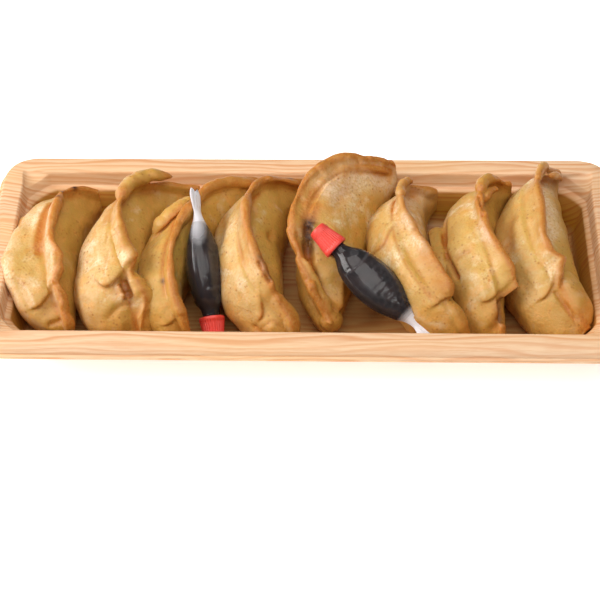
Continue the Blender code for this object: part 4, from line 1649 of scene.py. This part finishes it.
def drain(item, level):
    """Leave the sauce only below a level plane."""
    shape = bmesh.new()
    shape.from_mesh(item.data)
    everything = shape.verts[:] + shape.edges[:] + shape.faces[:]
    cut = bmesh.ops.bisect_plane(
        shape, geom=everything, plane_co=(0, 0, level), plane_no=(0, 0, 1), clear_outer=True
    )
    rim = [edge for edge in cut["geom_cut"] if isinstance(edge, bmesh.types.BMEdge)]
    bmesh.ops.holes_fill(shape, edges=rim, sides=0)
    bmesh.ops.recalc_face_normals(shape, faces=shape.faces)
    shape.to_mesh(item.data)
    shape.free()


class GYOZA_TRAY_OT_sauce(bpy.types.Operator):
    """Fill the bottles with soy sauce"""

    bl_idname = "gyoza_tray.sauce"
    bl_label = "Soy sauce"

    def execute(self, context):
        material = dark_sauce()
        wet = settings().bottle.wall / MM * 0.6  # less than the wall, so that no air lies between
        for plan in FISH:
            distance = np.linspace(-NECK_LENGTH, CAVITY_END + 0.3, 90)
            rows = fish_ring_rows(distance, wet) * MM
            item = new_item(f"sauce_fill_{plan['side']}", *rows_to_skin(rows), material)
            outward(item)
            item.data.transform(place_of(plan))
            if plan["level"] is not None:
                drain(item, plan["level"] * MM)
                item.data.shade_smooth()
            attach(item, ROOT)
            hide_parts(f"soy_sauce_{plan['side']}")
        return {"FINISHED"}


def cap_rows(ribs):
    """The ribbed screw cap, from the inside of its closed end to the outside of it. Each ring of its
    section is distance from the mouth, radius and how deep the ribs are."""
    sides = ribs * 6
    angle = np.linspace(0, 2 * np.pi, sides, endpoint=False)
    rib = np.clip(np.cos(angle * ribs) * 1.6, -1, 1)
    bore = NECK_RADIUS + 0.35
    deep = -CAP_LENGTH + CAP_TOP
    grip = CAP_MOUTH - 0.1
    section = [(deep, 0.01, 0), (deep, bore, 0), (-0.15, bore, 0), (0, bore + 0.12, 0)]
    section += [(0, CAP_MOUTH - 0.2, 0), (-0.2, CAP_MOUTH, 0), (-1.2, CAP_MOUTH, 0), (-1.35, grip, 1)]
    for share in np.linspace(0.12, 0.72, 12):
        section.append((-1.35 - share * (CAP_LENGTH - 2.2), grip - share * (CAP_MOUTH - CAP_END), 1))
    section += [(-7.4, 3.38, 0.3), (-7.9, 3.3, 0)]
    for before_end, radius in (
        (0.7, CAP_END),
        (0.3, CAP_END - 0.12),
        (0.08, CAP_END - 0.35),
        (0, CAP_END - 0.7),
        (0.15, 1.2),
        (0.15, 0.01),
    ):
        section.append((-CAP_LENGTH + before_end, radius, 0))
    rows = []
    for distance, radius, share in section:
        size = radius + RIB_DEPTH * share * (rib - 1)
        ring = [np.full(sides, distance), size * np.cos(angle), size * np.sin(angle)]
        rows.append(np.stack(ring, axis=1))
    return np.stack(rows)


class GYOZA_TRAY_OT_caps(bpy.types.Operator):
    """Screw the ribbed caps on"""

    bl_idname = "gyoza_tray.caps"
    bl_label = "Caps"

    def execute(self, context):
        material = cap_plastic()
        for plan in FISH:
            rows = cap_rows(settings().bottle.cap_ribs) * MM
            item = new_item(f"ribbed_cap_{plan['side']}", *rows_to_skin(rows), material)
            outward(item)
            item.data.transform(place_of(plan))
            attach(item, ROOT)
            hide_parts(f"cap_{plan['side']}")
        return {"FINISHED"}


# ---------------------------------------------------------------- stage

CAMERA_AIM = (-0.0015, -0.0045, 0.0)
CAMERA_DISTANCE = 0.592
CAMERA_TURN = -2.5  # degrees round the tray, to its left
CAMERA_TILT = 46.5  # degrees down from the level
CAMERA_ROLL = -1.4
CAMERA_LENS = 101.4
FLOOR_HALF = 1.6
FLOOR_BELOW = 0.2 * MM  # so that the tray's underside doesn't flicker in it
LAMP_TARGET = Vector((0, 0, 0.015))


def studio_floor():
    """Pale paper that lifts its own shadows a little."""
    look = settings().stage
    finish = Finish("studio_floor")
    grain = finish.noise(finish.place(), 60 * MM, detail=1.0)
    finish.set(Base_Color=finish.mix(grain, with_alpha(look.floor), linear(250, 250, 248)))
    finish.set(Roughness=0.9, Specular_IOR_Level=0.0)
    finish.set(Emission_Color=(1, 1, 1, 1), Emission_Strength=0.6)
    return finish.material


def add_floor():
    """A square of rows of points just under the tray."""
    edge = np.linspace(-FLOOR_HALF, FLOOR_HALF, 9)
    rows = [np.stack([edge, np.full(9, y), np.full(9, -FLOOR_BELOW)], axis=1) for y in edge]
    floor = new_item("studio_floor", *rows_to_skin(rows, closed=False, capped=False), studio_floor())


def add_light(scene, look):
    """A dim sky, and two large lamps: one low on the left, one high over the front."""
    world = bpy.data.worlds.new("studio_sky")
    world.use_nodes = True
    backdrop = world.node_tree.nodes["Background"]
    backdrop.inputs["Color"].default_value = (1.0, 0.985, 0.96, 1.0)
    backdrop.inputs["Strength"].default_value = look.sky
    scene.world = world
    for name, place, size, power in (
        ("key_light", Vector((-0.70, -0.06, 0.48)), 0.6, look.key_power),
        ("top_light", Vector((0.10, -0.22, 0.93)), 1.0, look.key_power * 0.98),
    ):
        lamp = bpy.data.lights.new(name, "AREA")
        lamp.shape = "SQUARE"
        lamp.size = size
        lamp.energy = power
        lamp.color = (1.0, 0.97, 0.93)
        item = bpy.data.objects.new(name, lamp)
        item.location = place
        item.rotation_euler = (LAMP_TARGET - place).to_track_quat("-Z", "Y").to_euler()
        scene.collection.objects.link(item)


def add_camera(scene):
    """The camera, turned round the tray and looking down at it."""
    camera = bpy.data.cameras.new("camera")
    camera.lens = CAMERA_LENS
    camera.sensor_width = 36.0
    camera.clip_start = 0.02
    item = bpy.data.objects.new("camera", camera)
    yaw, pitch, roll = (math.radians(angle) for angle in (CAMERA_TURN, CAMERA_TILT, CAMERA_ROLL))
    level = math.cos(pitch)
    gaze = Vector((math.sin(yaw) * level, math.cos(yaw) * level, -math.sin(pitch)))
    right = Vector((math.cos(yaw), -math.sin(yaw), 0))
    up = right.cross(gaze)
    turned = right * math.cos(roll) + up * math.sin(roll)
    upright = up * math.cos(roll) - right * math.sin(roll)
    axes = Matrix((turned, upright, -gaze)).transposed().to_4x4()
    item.matrix_world = Matrix.Translation(Vector(CAMERA_AIM) - gaze * CAMERA_DISTANCE) @ axes
    scene.collection.objects.link(item)
    scene.camera = item


class GYOZA_TRAY_OT_stage(bpy.types.Operator):
    """Set the floor, the soft lights and the camera"""

    bl_idname = "gyoza_tray.stage"
    bl_label = "Stage"

    def execute(self, context):
        add_floor()
        context.scene.view_settings.view_transform = "Standard"
        add_light(context.scene, settings().stage)
        add_camera(context.scene)
        return {"FINISHED"}


# ---------------------------------------------------------------- panel and run

STEPS = (
    GYOZA_TRAY_OT_stage,
    GYOZA_TRAY_OT_tray,
    GYOZA_TRAY_OT_gyoza,
    GYOZA_TRAY_OT_sauce,
    GYOZA_TRAY_OT_bottles,
    GYOZA_TRAY_OT_caps,
)


class GYOZA_TRAY_PT_panel(bpy.types.Panel):
    """Buttons and sizes for the tray of gyoza"""

    bl_idname = "GYOZA_TRAY_PT_panel"
    bl_label = "Gyoza Tray"
    bl_space_type = "VIEW_3D"
    bl_region_type = "UI"
    bl_category = "Gyoza Tray"

    def draw(self, context):
        column = self.layout.column()
        for step in STEPS:
            column.operator(step.bl_idname)
        look = context.scene.gyoza_tray
        for group in (look.gyoza, look.tray, look.bottle, look.stage):
            box = self.layout.box()
            for name in group.__annotations__:
                box.prop(group, name)


CLASSES = (
    GyozaSettings,
    TraySettings,
    BottleSettings,
    StageSettings,
    GyozaTraySettings,
    *STEPS,
    GYOZA_TRAY_PT_panel,
)


def register():
    for one in CLASSES:
        bpy.utils.register_class(one)
    bpy.types.Scene.gyoza_tray = bpy.props.PointerProperty(type=GyozaTraySettings)


def unregister():
    del bpy.types.Scene.gyoza_tray
    for one in reversed(CLASSES):
        bpy.utils.unregister_class(one)


def main():
    register()
    bpy.ops.gyoza_tray.stage()
    bpy.ops.gyoza_tray.tray()
    bpy.ops.gyoza_tray.gyoza()
    bpy.ops.gyoza_tray.sauce()
    bpy.ops.gyoza_tray.bottles()
    bpy.ops.gyoza_tray.caps()


if __name__ == "__main__":
    main()
